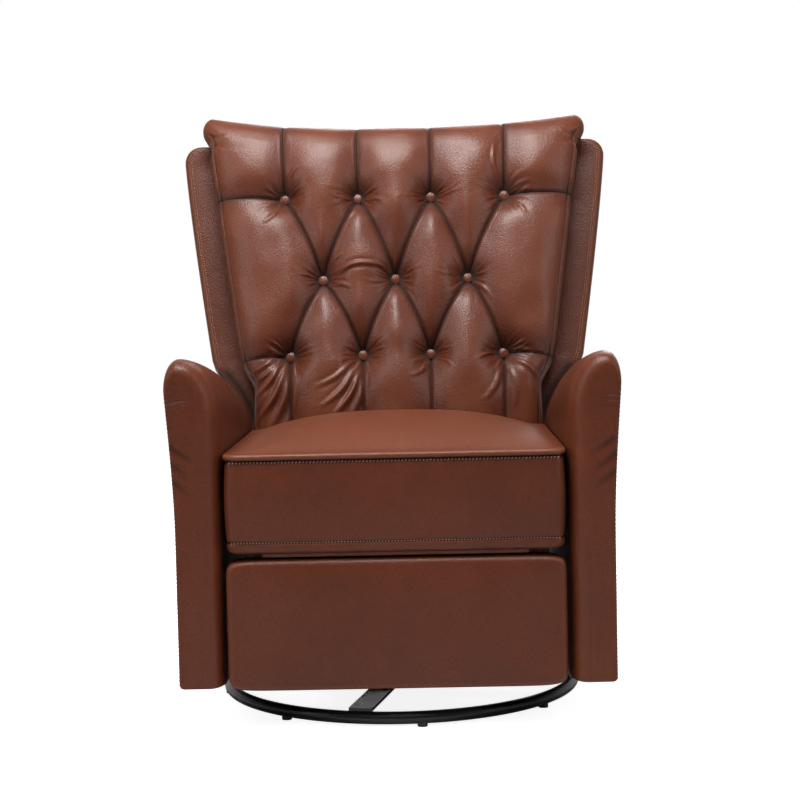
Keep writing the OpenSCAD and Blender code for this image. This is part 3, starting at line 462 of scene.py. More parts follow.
def laid_out(obj, tree, values):
    """The plain mesh that a tree lays out on an object, which it uses up."""
    run = obj.modifiers.new(tree.name, "NODES")
    run.node_group = tree
    for item in tree.interface.items_tree:
        if item.in_out == "INPUT" and item.name in values:
            run[item.identifier] = values[item.name]
    obj.update_tag()
    graph = bpy.context.evaluated_depsgraph_get()
    mesh = bpy.data.meshes.new_from_object(obj.evaluated_get(graph), depsgraph=graph)
    bpy.data.objects.remove(obj)
    return mesh


def stitch_tree():
    """Lays capsules of thread along a curve, each turned a little at random."""
    floats = ("Spacing", "Half length", "Radius", "Slant")
    t = Repeat("Stitch run", {**dict.fromkeys(floats, "Float"), "Facing": "Vector"})
    path = {"Curve": t.given("Places"), "Length": t.given("Spacing")}
    run = t.make("GeometryNodeResampleCurve", {"mode": "LENGTH"}, path)
    tangent = {"Vector": t.make("GeometryNodeInputTangent")}
    along = t.make("FunctionNodeAlignRotationToVector", {"axis": "X"}, tangent)
    facing = {"Rotation": along, "Vector": t.given("Facing")}
    faced = t.make("FunctionNodeAlignRotationToVector", {"axis": "Z", "pivot_axis": "X"}, facing)
    wobble = t.make("FunctionNodeRandomValue", {"data_type": "FLOAT"}, {2: -0.10, 3: 0.10, "Seed": 3}, 1)
    slanted = t.turned(faced, t.make("ShaderNodeCombineXYZ", {}, {"Z": t.given("Slant") + wobble}))
    radius = t.given("Radius")
    size = t.make("ShaderNodeCombineXYZ", {}, {"X": t.given("Half length"), "Y": radius, "Z": radius})
    bead = t.make("GeometryNodeMeshUVSphere", {}, {"Segments": 8, "Rings": 5, "Radius": 1.0})
    return t.end(Points=run, Instance=bead, Rotation=slanted, Scale=size)


def stitch_run(points, spacing, half_length, radius, slant, facing, thread):
    """Stitches along a line of points in mm."""
    curve = bpy.data.curves.new("Stitch path", "CURVE")
    curve.dimensions = "3D"
    spline = curve.splines.new("POLY")
    spline.points.add(len(points) - 1)
    for p, q in zip(spline.points, np.asarray(points, float) * MM):
        p.co = (*q, 1.0)
    tree = bpy.data.node_groups.get("Stitch run") or stitch_tree()
    values = {
        "Spacing": spacing, "Half length": half_length, "Radius": radius,
        "Slant": slant, "Facing": facing, "Material": thread,
    }
    return placed("Stitches", laid_out(placed("Stitch path", curve), tree, values))


def joined(name, pieces):
    """Several mesh objects as one object under a given name."""
    bpy.ops.object.select_all(action="DESELECT")
    for piece in pieces:
        piece.select_set(True)
    bpy.context.view_layer.objects.active = pieces[0]
    bpy.ops.object.join()
    pieces[0].name = pieces[0].data.name = name
    return pieces[0]


# ---------------------------------------------------------------- shared shapes

SEAT_W, SEAT_FRONT, SEAT_REAR = 526.0, -327.0, 185.0
SEAT_LOW, SEAT_BAND, SEAT_CROWN = 279.0, 147.0, 52.0
ARM_IN, ARM_OUT, ARM_FRONT, ARM_REAR = 268.0, 338.0, -329.0, 275.0
ARM_LOW, ARM_TOP, ARM_DROP, ARM_FLARE, ARM_THIN = 70.0, 584.0, 84.0, 22.0, 3.0
ARM_OUT_ROLL, ARM_IN_ROLL, ARM_FOOT, ARM_POINTS = 36.0, 85.0, 6.0, 220
ARM_NOSE, ARM_TAIL = 44.0, 30.0  # how far the rounding of its front and rear reaches along y


def arm_side_x(z):
    """Outer face of the arm at a height."""
    return ARM_OUT + ARM_FLARE * smooth_step(((z - ARM_LOW) / (ARM_TOP - ARM_LOW) - 0.45) / 0.86)


def arm_crest(y):
    t = max(0.0, (y - ARM_FRONT) / (ARM_REAR - ARM_FRONT))
    return ARM_TOP - ARM_DROP * (0.4 * t + 0.6 * t * t)


def arm_outline(y, inner=0.0, outer=0.0, top_in=0.0, low_in=0.0):
    """Cross-section of the right arm at y, each side drawn in by its own amount."""
    top, low = arm_crest(y) - top_in, ARM_LOW + low_in
    in_x = ARM_IN + inner + ARM_THIN * smooth_step((y + 60.0) / (ARM_REAR + 60.0))
    crest_x = ARM_IN + 0.66 * (ARM_OUT - ARM_IN + ARM_FLARE)
    out_turn, in_turn = top - ARM_OUT_ROLL, top - ARM_IN_ROLL
    foot_x, wide = arm_side_x(low) - outer, arm_side_x(out_turn) - outer - crest_x
    climb, fall = (np.linspace(a, b, 24) for a, b in ((low + ARM_FOOT, out_turn), (in_turn, low + ARM_FOOT)))
    bevel = ARM_FOOT * 0.3
    flat = even_outline(np.concatenate([
        [(in_x + ARM_FOOT, low), (foot_x - ARM_FOOT, low), (foot_x - bevel, low + bevel)],
        np.stack([arm_side_x(climb) - outer, climb], axis=1),
        arc(crest_x, out_turn, wide, ARM_OUT_ROLL, np.linspace(0.05, math.pi / 2, 16)),
        arc(crest_x, in_turn, crest_x - in_x, ARM_IN_ROLL, np.linspace(math.pi / 2 + 0.08, math.pi, 18)),
        np.stack([np.full(23, in_x), fall[1:]], axis=1),
        [(in_x + bevel, low + bevel)],
    ]), ARM_POINTS)
    return np.stack([flat[:, 0], np.full(ARM_POINTS, y), flat[:, 1]], axis=1)


CUSHION_LOW, CUSHION_TOP, CUSHION_CROWN = 42.0, 726.0, 58.0
CUSHION_EDGE, CUSHION_BACK = 6.0, 35.0  # depths of its face's edge and of its back
CUSHION_COLUMNS, CUSHION_ROWS = 350, 340  # points across and up its face
CUSHION_SIDES = ((1.0, 9.5), (2.5, 16.0), (3.0, 26.0), (8.0, 34.5))  # drawn in by, and depth
BUTTON_ROWS = (
    (581.0, (-206.0, -68.5, 68.5, 206.0)),
    (423.0, (-135.0, 0.0, 135.0)),
    (279.0, (-197.0, -62.5, 62.5, 197.0)),
)
BUTTONS = [(x, z) for z, xs in BUTTON_ROWS for x in xs]


def cushion_half_width(z):
    """Half the back cushion's width at a distance up the back."""
    z = np.asarray(z, float)
    wide = 263.5 + 3.0 * smooth_step((z - 60.0) / 90.0) + 18.5 * smooth_step((z - 218.0) / 58.0)
    return wide + 73.0 * np.clip((z - 228.0) / 498.0, 0.0, None)


def seam_lines():
    """Seams of the back cushion: start, end, depth share at start, middle and end, and sideways bow."""
    top, mid, low = ([(x, z) for x in xs] for z, xs in BUTTON_ROWS)
    lines = [((x, z), (x * 1.02, CUSHION_TOP + 8.0), 1.0, 0.42, 0.30, 0.0) for x, z in top]
    lines += [((x, z), (x, CUSHION_LOW), 1.0, 0.40, 0.30, 0.0) for x, z in low]
    for i, m in enumerate(mid):
        for a, b, bow in ((top[i], m, 6.0), (top[i + 1], m, -6.0), (m, low[i], -6.0), (m, low[i + 1], 6.0)):
            lines.append((a, b, 1.0, 0.5, 1.0, bow))
    for (x, z), rise in ((top[3], 3.0), (low[3], -6.0)):
        for s in (-1.0, 1.0):
            lines.append(((s * x, z), (s * cushion_half_width(z), z + rise), 1.0, 0.40, 0.35, 0.0))
    return lines


def off_line(x, z, a, b, bow):
    """Share of the way along a bowed line, the same kept from 0 to 1, distance from it, and which side."""
    dx, dz = b[0] - a[0], b[1] - a[1]
    span = math.hypot(dx, dz)
    t = ((x - a[0]) * dx + (z - a[1]) * dz) / span**2
    inside = np.clip(t, 0.0, 1.0)
    side = bow * np.sin(math.pi * inside)
    across = x - (a[0] + dx * inside - dz / span * side)
    up = z - (a[1] + dz * inside + dx / span * side)
    return t, inside, np.hypot(across, up), np.sign(dx * up - dz * across)


def seam_field(x, z):
    """Signed distance to the nearest seam, smoothed distance to all, their pull, and the nearest's lip."""
    nearest = signed = np.full(x.shape, 1e9)
    pull = close = lip = np.zeros(x.shape)
    for a, b, start, middle, end, bow in seam_lines():
        t, inside, d, left = off_line(x, z, a, b, bow)
        from_middle = np.where(inside < 0.5, start, end) - middle
        share = middle + from_middle * np.abs(2.0 * inside - 1.0) ** 2.2
        pull = pull + (share * (0.60 * bell(d, 29.0, 1.7) + 0.40 * bell(d, 7.0, 1.4))) ** 5
        close = close + (d + 1.0) ** -4.0
        over = bell(left * d - 4.6, 2.6) * smooth_step((1.0 - np.abs(2.0 * t - 1.0)) * 4.0)
        lip = np.where(d < nearest, over, lip)
        signed = np.where(d < nearest, left * d, signed)
        nearest = np.minimum(nearest, d)
    return signed, close**-0.25 - 1.0, pull**0.2, lip


FOLDS = (
    # start, end, width, height: long folds that run from the buttons, in mm on the back
    ((-205.0, 268.0), (-264.0, 158.0), 5.5, 5.6),
    ((-212.0, 272.0), (-272.0, 200.0), 5.0, 4.4),
    ((-200.0, 262.0), (-240.0, 140.0), 6.5, 4.8),
    ((-222.0, 284.0), (-282.0, 246.0), 5.0, 3.2),
    ((-192.0, 262.0), (-214.0, 130.0), 6.0, 2.6),
    ((-224.0, 262.0), (-262.0, 232.0), 4.0, 2.4),
    ((-68.0, 266.0), (-116.0, 164.0), 5.0, 5.2),
    ((-74.0, 264.0), (-138.0, 180.0), 5.0, 3.8),
    ((-64.0, 262.0), (-94.0, 150.0), 5.5, 3.6),
    ((-80.0, 270.0), (-150.0, 216.0), 4.5, 2.4),
    ((-116.0, 430.0), (-22.0, 444.0), 4.2, 3.6),
    ((-118.0, 412.0), (-84.0, 402.0), 3.6, 2.2),
    ((-124.0, 446.0), (-96.0, 470.0), 4.0, 2.6),
    ((62.0, 268.0), (22.0, 232.0), 4.5, 2.2),
    ((58.0, 276.0), (18.0, 262.0), 4.0, 1.6),
    ((206.0, 268.0), (262.0, 226.0), 5.0, 3.0),
    ((192.0, 264.0), (158.0, 186.0), 5.5, 2.4),
    ((214.0, 282.0), (268.0, 262.0), 4.0, 2.2),
    ((198.0, 260.0), (216.0, 176.0), 5.0, 2.0),
    ((202.0, 596.0), (190.0, 676.0), 4.0, 3.0),
    ((214.0, 574.0), (244.0, 536.0), 4.5, 2.2),
    ((-212.0, 572.0), (-244.0, 530.0), 4.5, 2.2),
    ((-200.0, 596.0), (-180.0, 640.0), 4.0, 2.2),
    ((-72.0, 572.0), (-88.0, 540.0), 4.0, 1.8),
    ((130.0, 418.0), (100.0, 392.0), 4.0, 1.8),
    ((142.0, 414.0), (176.0, 376.0), 4.5, 1.8),
    ((-350.0, 690.0), (-312.0, 704.0), 4.0, 2.6),
    ((-350.0, 684.0), (-318.0, 676.0), 3.6, 1.8),
    ((350.0, 690.0), (314.0, 706.0), 4.0, 2.6),
    ((350.0, 684.0), (320.0, 678.0), 3.6, 1.8),
)


def fold_field(x, z):
    """Height of the long folds, each with a hollow beside it."""
    total = np.zeros(x.shape)
    for a, b, width, height in FOLDS:
        t, _, d, _ = off_line(x, z, a, b, 0.10 * math.dist(a, b))
        body = np.sin(math.pi * np.clip(t * 0.92 + 0.06, 0.0, 1.0)) ** 0.7
        total += height * body * (bell(d, width) - 0.45 * bell(d - 1.6 * width, width))
    return total


def from_button(x, z, button):
    """Distance from a button and the way to it."""
    dx, dz = x - button[0], z - button[1]
    return np.hypot(dx, dz), dx, dz


def gathers(x, z, height):
    """Short folds that run out from each button."""
    total = np.zeros(x.shape)
    local = np.random.default_rng(21)
    for button in BUTTONS:
        r, dx, dz = from_button(x, z, button)
        angle = np.arctan2(dz, dx)
        ripple = np.zeros(x.shape)
        for k in range(16):
            heading = (0.0 if k % 2 else math.pi) + local.normal(0.0, 0.62)
            narrow = local.uniform(0.055, 0.12)
            reach = local.uniform(26.0, 62.0)
            size = local.uniform(0.35, 1.0)
            bend = local.uniform(-0.35, 0.35)
            off = (angle - heading - bend * (r / 60.0) ** 2 + math.pi) % (2.0 * math.pi) - math.pi
            across = bell(off, narrow) - 0.5 * bell(np.abs(off) - 1.7 * narrow, narrow)
            ripple += size * across * bell(r - reach * 0.52, reach * 0.34)
        total += height * ripple * smooth_step((r - 9.0) / 8.0)
    return total


def sway(x, z):
    """Slow uneven swelling of stuffed leather, between about -1 and 1."""
    local = np.random.default_rng(11)
    total = np.zeros(np.shape(x))
    for _ in range(9):
        turn, wave = local.uniform(0, math.pi), local.uniform(46.0, 130.0)
        start = local.uniform(0, 2 * math.pi)
        total += np.sin((x * math.cos(turn) + z * math.sin(turn)) * 2 * math.pi / wave + start)
    return total / 4.0


def cushion_front(x, z, sizes, u=None, v=None):
    """Depth of the back cushion's face before its edge, its painted light and shade, and the signed distance
    to a seam.
    """
    if u is None:
        u = x / cushion_half_width(z)
        v = (z - CUSHION_LOW) / (CUSHION_TOP - CUSHION_LOW)
    u, v = np.clip(np.abs(u), 0.0, 1.0), np.clip(v, 0.0, 1.0)
    domed = np.sqrt((1.0 - u**8) * (1.0 - np.abs(2.0 * v - 1.0) ** 6.5))
    crown = CUSHION_CROWN * (0.3 + 0.7 * (1.0 - (1.0 - np.clip(v / 0.34, 0.0, 1.0)) ** 2))
    signed, soft, pull, lip = seam_field(x, z)
    nearest = np.abs(signed)
    button = np.min([from_button(x, z, place)[0] for place in BUTTONS], axis=0)
    tuft = bell(button, 24.0, 1.5)
    deep, line = sizes.tuft_depth / MM, sizes.seam_depth / MM
    inward = deep * tuft + line * pull * (1.0 - tuft) + 2.8 * bell(nearest, 2.4)
    swell = 13.0 * (1.0 - bell(soft, 36.0)) * (1.0 - 0.4 * u) + 1.5 * sway(x, z)
    rim = bell(u - 0.968, 0.0055) * smooth_step((0.955 - v) / 0.02)
    folds = (fold_field(x, z) + gathers(x, z, sizes.fold_height / MM)) * (1.0 - 0.65 * bell(nearest, 5.0))
    depth = (crown - inward + swell + 1.3 * lip * (1.0 - tuft) + folds) * domed - 3.2 * rim
    # Painted shade at the seams, around the buttons, in the tufts and along the rim; painted highlight on
    # crests and folds, and painted light on the lower part.
    tone = 0.5 - 0.10 * bell(nearest, 3.0) - 0.22 * bell(soft, 12.0)
    tone = tone - 0.32 * bell(button - 10.0, 5.0) - 0.12 * bell(button, 26.0)
    tone = tone + 0.05 * folds + 0.23 * smooth_step((soft - 13.0) / 28.0)
    tone = tone + 0.05 * smooth_step((300.0 - z) / 120.0) - 0.42 * rim
    return depth, np.clip(tone, 0.0, 1.0), signed


def button_rays(x, z):
    """Heading and distance from the nearest button, and how much the leather gathers there."""
    best = np.full(x.shape, 1e9)
    ray = np.zeros(x.shape + (3,))
    for bx, bz in BUTTONS:
        r, dx, dz = from_button(x, z, (bx, bz))
        some = np.maximum(r, 1e-6)
        own = np.stack([dx / some, dz / some, r / 60.0 + bx * 0.01 + bz * 0.007], -1)
        ray = np.where((r < best)[..., None], own, ray)
        best = np.minimum(best, r)
    gather = smooth_step((best - 11.0) / 7.0) * bell(np.maximum(best - 20.0, 0.0), 17.0, 1.6)
    return ray, gather * (0.35 + 0.65 * np.abs(ray[..., 0]) ** 1.5)


def cushion_rim(sign):
    """One side and half the top of the back cushion's outline, up to the middle of its ear."""
    rise = 27.0 if sign < 0 else 20.0

    def ear(*turn):
        return arc(344.0, CUSHION_TOP + rise - 26.0, 20.0, 26.0, degrees(*turn))

    z = np.linspace(CUSHION_LOW, 688.0, 120)
    x = cushion_half_width(z) - 5.0 * bell(z - 684.0, 9.0)
    for row in (0, 2):
        x = x - 2.0 * bell(z - BUTTON_ROWS[row][0], 20.0)
    side = np.concatenate([np.stack([x, z], 1), ear(-68.0, 45.0, 18)])
    x = np.linspace(343.0, 0.0, 90)
    z = CUSHION_TOP + rise * (x / 345.0) ** 2.7
    for bx in BUTTON_ROWS[0][1]:
        z = z - 0.9 * bell(x - abs(bx), 5.0)
    top = np.concatenate([ear(45.0, 88.0, 10), np.stack([x, z], 1)])
    return side * (sign, 1.0), top * (sign, 1.0)


def along_line(points, shares):
    """Points at shares of the way along an open line."""
    steps = np.linalg.norm(np.diff(points, axis=0), axis=1)
    way = np.concatenate([[0.0], np.cumsum(steps)])
    return np.stack([np.interp(np.asarray(shares) * way[-1], way, points[:, k]) for k in range(2)], axis=1)


# ---------------------------------------------------------------- pieces


def finishes():
    """The chair's materials by name, made once."""
    scene = bpy.context.scene
    sizes, colours = scene.recliner_sizes, scene.recliner_colours
    if "Leather" not in bpy.data.materials:
        leather_finish("Leather", sizes, colours)
        leather_finish("Leather, back", sizes, colours, rough=0.36, shine=0.33)
        creases = [
            ((s * ax * MM, -0.325, az * MM), (s * bx * MM, -0.325, bz * MM), width * MM, depth)
            for ax, az, bx, bz, width, depth in ARM_CREASES
            for s in (-1.0, 1.0)
        ]
        leather_finish("Leather, arms", sizes, colours, rough=0.34, creases=creases)
        leather_finish("Leather, shell", sizes, colours, rough=0.36)
        leather_finish("Leather, buttons", sizes, colours, has_tone=False, rough=0.27, shine=0.31)
        for finish in (thread_finish, black_steel_finish, plywood_finish):
            finish(colours)
        for finish in (zinc_finish, webbing_finish, plastic_finish):
            finish()
    return bpy.data.materials


ROOM_LIGHT, SHINE_BEFORE, SHINE_BEHIND, FLOOR_SEEN = 0.18, 0.09, 0.8, 0.88


def studio_world():
    """White to the camera, dim to the chair, and in its shine brighter the further behind it a ray goes."""
    world = bpy.data.worlds.new("Studio")
    world.use_nodes = True
    w = Nodes(world.node_tree)
    rays = ("Is Camera Ray", "Is Transmission Ray", "Is Glossy Ray")
    camera, through, mirror = (w.make("ShaderNodeLightPath", out=ray) for ray in rays)
    heading = w.make("ShaderNodeTexCoord", out="Generated")
    behind = w.make("ShaderNodeSeparateXYZ", {}, {0: heading}, "Y")
    behind = w.make("ShaderNodeMapRange", {}, {0: behind, 1: 0.2, 2: 1.0, 3: SHINE_BEFORE, 4: SHINE_BEHIND})
    level = w.make("ShaderNodeMix", {"data_type": "FLOAT"}, {0: mirror, 2: ROOM_LIGHT, 3: behind})
    seen = camera.maths("MAXIMUM", camera, through)
    level = w.make("ShaderNodeMix", {"data_type": "FLOAT"}, {0: seen, 2: level, 3: 1.0})
    shader = w.tree.nodes["Background"]
    w.plug(shader.inputs["Color"], (1.0, 1.0, 1.0))
    w.plug(shader.inputs["Strength"], level)
    return world


SOFTBOXES = (
    # name, place, width, height, power; all look at the middle of the chair
    ("Softbox_left", (-2.9, -1.5, 1.9), 1.1, 2.0, 35),
    ("Softbox_right", (2.9, -1.3, 1.8), 1.1, 2.0, 29),
    ("Softbox_top", (-0.2, -0.85, 3.0), 1.9, 1.3, 155),
    ("Softbox_front", (-0.35, -2.9, 2.5), 2.4, 0.9, 8),
    ("Softbox_rear", (0.6, 3.0, 2.2), 1.8, 1.6, 50),
)
CHAIR_MIDDLE = (0.0, 0.0, 0.6)
CAMERA_PLACE = (0.051, -3.015, 0.680)
CAMERA_YAW, CAMERA_PITCH, CAMERA_ROLL = -0.0145, 0.062, 0.0218
CAMERA_LENS = 1766.0 / 800.0 * 36.0  # mm, on a sensor 36 mm wide


class RECLINER_OT_stage(Operator):
    """Floor, light and the camera"""

    bl_idname = "recliner.stage"
    bl_label = "Studio"

    def execute(self, context):
        scene = context.scene
        scene.view_settings.view_transform = "Standard"
        f = Finish("Studio floor", scene.recliner_colours.floor)
        f.set(Base_Color=tuple(scene.recliner_colours.floor), Roughness=0.9, Specular_IOR_Level=0.1)
        ray = f.make("ShaderNodeLightPath", out="Is Camera Ray")
        f.set(Emission_Color=f.mix(ray, (0.0, 0.0, 0.0), (FLOOR_SEEN,) * 3), Emission_Strength=1.0)
        corners = [(-9, -9, 0), (9, -9, 0), (9, 9, 0), (-9, 9, 0)]
        floor = new_mesh_object("Studio_floor", corners, [(0, 1, 2, 3)], f.material)
        scene.world = studio_world()
        for name, place, wide, high, power in SOFTBOXES:
            light = bpy.data.lights.new(name, "AREA")
            light.shape = "RECTANGLE"
            light.size, light.size_y = wide, high
            light.energy = power
            box = placed(name, light)
            box.location = place
            box.rotation_euler = (Vector(CHAIR_MIDDLE) - Vector(place)).to_track_quat("-Z", "Y").to_euler()
        camera = bpy.data.cameras.new("Camera")
        camera.sensor_width = 36.0
        camera.lens = CAMERA_LENS
        yaw, pitch, roll = CAMERA_YAW, CAMERA_PITCH, CAMERA_ROLL
        ahead = Vector((math.sin(yaw) * math.cos(pitch), math.cos(yaw) * math.cos(pitch), -math.sin(pitch)))
        right = Vector((math.cos(yaw), -math.sin(yaw), 0.0))
        up = right.cross(ahead)
        across = right * math.cos(roll) - up * math.sin(roll)
        above = right * math.sin(roll) + up * math.cos(roll)
        turn = Matrix((across, above, -ahead)).transposed().to_4x4()
        scene.camera = placed("Camera", camera)
        scene.camera.matrix_world = Matrix.Translation(CAMERA_PLACE) @ turn
        return {"FINISHED"}


FINISH_OF_SLOT = {
    "black_steel": "Black powder coat",
    "zinc_steel": "Zinc plated steel",
    "plywood": "Plywood",
    "webbing": "Elastic webbing",
    "black_plastic": "Black glide plastic",
    "leather": "Leather, buttons",
}


class RECLINER_OT_framework(Operator):
    """Finishes of the steel, wood, webbing and plastic that come from the CAD model"""

    bl_idname = "recliner.framework"
    bl_label = "Steel and wood"

    def execute(self, context):
        for part in frame["record"]["subparts"]:
            mesh = nodes[part["node"]].data
            mesh.materials.clear()
            mesh.materials.append(finishes()[FINISH_OF_SLOT[part["material_slot"]]])
        return {"FINISHED"}


ARM_CREASES = (
    # start x, z, end x, z, width, depth, on the front of the arm
    (356.0, 517.0, 300.0, 523.0, 3.2, 5.0),
    (356.0, 508.0, 306.0, 515.0, 2.8, 4.0),
    (356.0, 499.0, 318.0, 503.0, 3.0, 2.6),
    (354.0, 526.0, 326.0, 530.0, 2.8, 2.4),
    (340.0, 452.0, 300.0, 424.0, 8.0, 2.0),
    (344.0, 430.0, 304.0, 398.0, 8.0, 2.0),
    (344.0, 404.0, 306.0, 374.0, 8.0, 1.6),
)


def end_rings(ring, swell):
    """Ever smaller rings that close an arm's end, pushed out along y by a slight swell."""
    x, y, z = ring.T
    low, high = z.min(), z.max()
    mid_x = np.interp(z, [low, high], [0.5 * (ARM_IN + ARM_OUT), 0.5 * (x.min() + x.max())])
    mid_z = np.clip(z, low + 34.0, high - 30.0)
    rings = []
    for s in (0.04, 0.1, 0.2, 0.35, 0.5, 0.65, 0.8, 0.92):
        bulge = swell * math.sqrt(1 - (1 - s) ** 2)
        rings.append(np.stack([x * (1 - s) + mid_x * s, y + bulge, z * (1 - s) + mid_z * s], axis=1))
    return rings


def arm_profile(sign):
    """Rings of points of one arm, front to rear, with the painted light and shade of each."""
    rings, shades = [], []
    for k, a in enumerate(np.linspace(0.0, math.pi / 2, 17)):
        draw = 1.0 - math.sin(a)
        y = ARM_FRONT + ARM_NOSE * (1.0 - math.cos(a)) ** 1.1
        outer = 4.0 * max(0.0, 1.0 - k / 5.0) ** 2
        rings.append(arm_outline(y, 34.0 * draw, outer, 26.0 * draw, 3.0 * draw))
        # Painted highlight on the rounded front edge.
        shades.append(0.5 + 0.10 * math.sin(a * 2.0))
    rings += [arm_outline(y) for y in np.linspace(ARM_FRONT + ARM_NOSE + 8.0, ARM_REAR - ARM_TAIL - 6.0, 46)]
    for a in degrees(10, 90, 9):
        draw = 1.0 - math.cos(a)
        y = ARM_REAR - ARM_TAIL + ARM_TAIL * math.sin(a)
        rings.append(arm_outline(y, 24.0 * draw, 10.0 * draw, 16.0 * draw, 3.0 * draw))
    front, rear = end_rings(rings[0], -0.5)[::-1], end_rings(rings[-1], 0.0)
    shades = [0.5] * len(front) + shades + [0.5] * (len(rings) - len(shades) + len(rear))
    rings = front + rings + rear
    tones = []
    for (x, y, z), shade in zip((ring.T for ring in rings), shades):
        # Painted shade on the arm's inner face below its top roll and behind its front, where it faces the
        # cushion.
        inside = smooth_step((ARM_IN + 14.0 - x) / 10.0) * smooth_step((460.0 - z) / 60.0)
        tones.append(shade - 0.38 * inside * smooth_step((y + 318.0) / 20.0))
    return [ring * (sign, 1.0, 1.0) for ring in rings], tones


class RECLINER_OT_arms(Operator):
    """Padded arms with rolled tops"""

    bl_idname = "recliner.arms"
    bl_label = "Arms"

    def execute(self, context):
        for side, sign in (("left", -1.0), ("right", 1.0)):
            arm = loft(side + "_arm", *arm_profile(sign), finishes()["Leather, arms"], flip=sign < 0)
            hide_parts(side + "_arm_cover")
            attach(arm, "chassis")
        return {"FINISHED"}


SHELL_FRONT, SHELL_BACK, SHELL_MID, SHELL_TOP, WING_LOW = 38.0, 133.0, 430.0, 712.0, 266.0
SHELL_LIP, SHELL_ROLL = 10.0, 13.0  # radii of its front and rear edges
SHELL_TURN = (
    # points of the rounded corner where a wing runs into the lower shell
    (263.0, 96.0), (269.0, 126.0), (277.0, 160.0), (287.0, 190.0),
    (300.0, 216.0), (313.0, 236.0), (324.0, 249.0),
)


def shell_outline(draw=0.0, count=300):
    """Outline of the padded back shell, drawn in by an amount."""
    climb = np.linspace(0.05, 0.95, 14)
    shoulder = SHELL_TOP - 30.0
    wing_x, wing_z = 346.0 + 57.0 * (1 - (1 - climb) ** 1.15), WING_LOW + (shoulder - WING_LOW) * climb
    right = np.concatenate([
        [(0.0, 25.0), (120.0, 25.0)],
        arc(245.0, 43.0, 18.0, 18.0, degrees(-90, 0, 8)),
        SHELL_TURN,
        arc(331.0, WING_LOW + 14.0, 15.0, 15.0, degrees(-75, 0, 8)),
        np.stack([wing_x, wing_z], axis=1),
        arc(373.0, shoulder, 30.0, 30.0, degrees(0, 90, 12)),
        [(200.0, SHELL_TOP), (100.0, SHELL_TOP)],
    ])
    left = right[:0:-1] * (-1.0, 1.0)
    flat = even_outline(np.concatenate([right, left]), count)
    ahead = np.roll(flat, -1, axis=0) - np.roll(flat, 1, axis=0)
    inward = np.stack([-ahead[:, 1], ahead[:, 0]], axis=1)
    return flat + inward / np.linalg.norm(inward, axis=1, keepdims=True) * draw


class RECLINER_OT_back_shell(Operator):
    """Padded shell behind the cushion, with its two wings"""

    bl_idname = "recliner.back_shell"
    bl_label = "Back shell"

    def execute(self, context):
        rings, tones = [], []

        def ring(draw, depth, tone=0.5):
            flat = shell_outline(draw)
            z = flat[:, 1]
            # Painted shadow under each wing on the shell's front and sides, standing in for the brackets'
            # shade there.
            under = smooth_step((z - 140.0) / 30.0) * smooth_step((WING_LOW + 7.0 - z) / 8.0)
            rings.append(at_depth(flat, depth))
            tones.append(tone - 0.4 * under * (depth < SHELL_BACK - 20.0))

        def shrunk(share, depth, tone=0.5):
            flat, mid = shell_outline(SHELL_ROLL), np.array([0.0, SHELL_MID])
            rings.append(at_depth(mid + (flat - mid) * share, depth))
            tones.append(np.full(len(flat), tone))

        # Painted shade: the wings' front faces darker.
        for share, sunk in ((0.35, 5.0), (0.7, 5.0), (0.88, 4.2), (0.94, 1.8), (0.97, 0.4)):
            shrunk(share, SHELL_FRONT + sunk, 0.36)
        # Painted highlight on the rounded front edge.
        for a in degrees(0, 90, 7):
            draw, sunk = SHELL_LIP * (1 - math.sin(a)), SHELL_LIP * (1 - math.cos(a))
            ring(draw, SHELL_FRONT + sunk, 0.40 + 0.3 * math.sin(2 * a))
        for depth in np.linspace(SHELL_FRONT + 16.0, SHELL_BACK - 22.0, 6):
            ring(-1.5, depth)
        # Painted highlight on the rear roll, then painted shade in the groove inside it.
        for a in degrees(0, 90, 8):
            draw, rise = SHELL_ROLL * (1 - math.cos(a)), SHELL_ROLL * math.sin(a)
            ring(draw, SHELL_BACK - SHELL_ROLL - 3.0 + rise, 0.5 + 0.1 * math.sin(2 * a))
        shrunk(0.985, SHELL_BACK - 4.2, 0.25)
        for share, rise in ((0.95, 0.6), (0.85, 1.8), (0.65, 2.6), (0.35, 3.0)):
            shrunk(share, SHELL_BACK - 3.0 + rise)
        mids = [on_back((0.0, depth, SHELL_MID)) for depth in (SHELL_FRONT, SHELL_BACK)]
        shell = loft("back_shell_cover", rings, tones, finishes()["Leather, shell"], mids, flip=True)
        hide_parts("back_shell")
        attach(shell, "back")
        return {"FINISHED"}


def crowded(count, power):
    """Numbers from -1 to 1 that crowd towards both ends."""
    s = np.linspace(-1.0, 1.0, count)
    return np.sign(s) * (1 - (1 - np.abs(s)) ** power)


def cushion_grid(s, v):
    """Places on the back of the cushion's face, at shares across from -1 to 1 and up from 0 to 1."""
    (left, top_left), (right, top_right) = cushion_rim(-1.0), cushion_rim(1.0)
    lower = np.stack([cushion_half_width(CUSHION_LOW) * s, np.full(len(s), CUSHION_LOW)], 1)
    upper = np.concatenate([along_line(top_left, 1.0 + s[s < 0]), along_line(top_right, 1.0 - s[s >= 0])])
    left, right = along_line(left, v), along_line(right, v)
    a, b = ((s + 1) / 2)[None, :, None], v[:, None, None]
    flat = (1 - b) * lower[None] + b * upper[None]
    return flat + (1 - a) ** 4 * (left[:, None] - flat[:, :1]) + a**4 * (right[:, None] - flat[:, -1:])


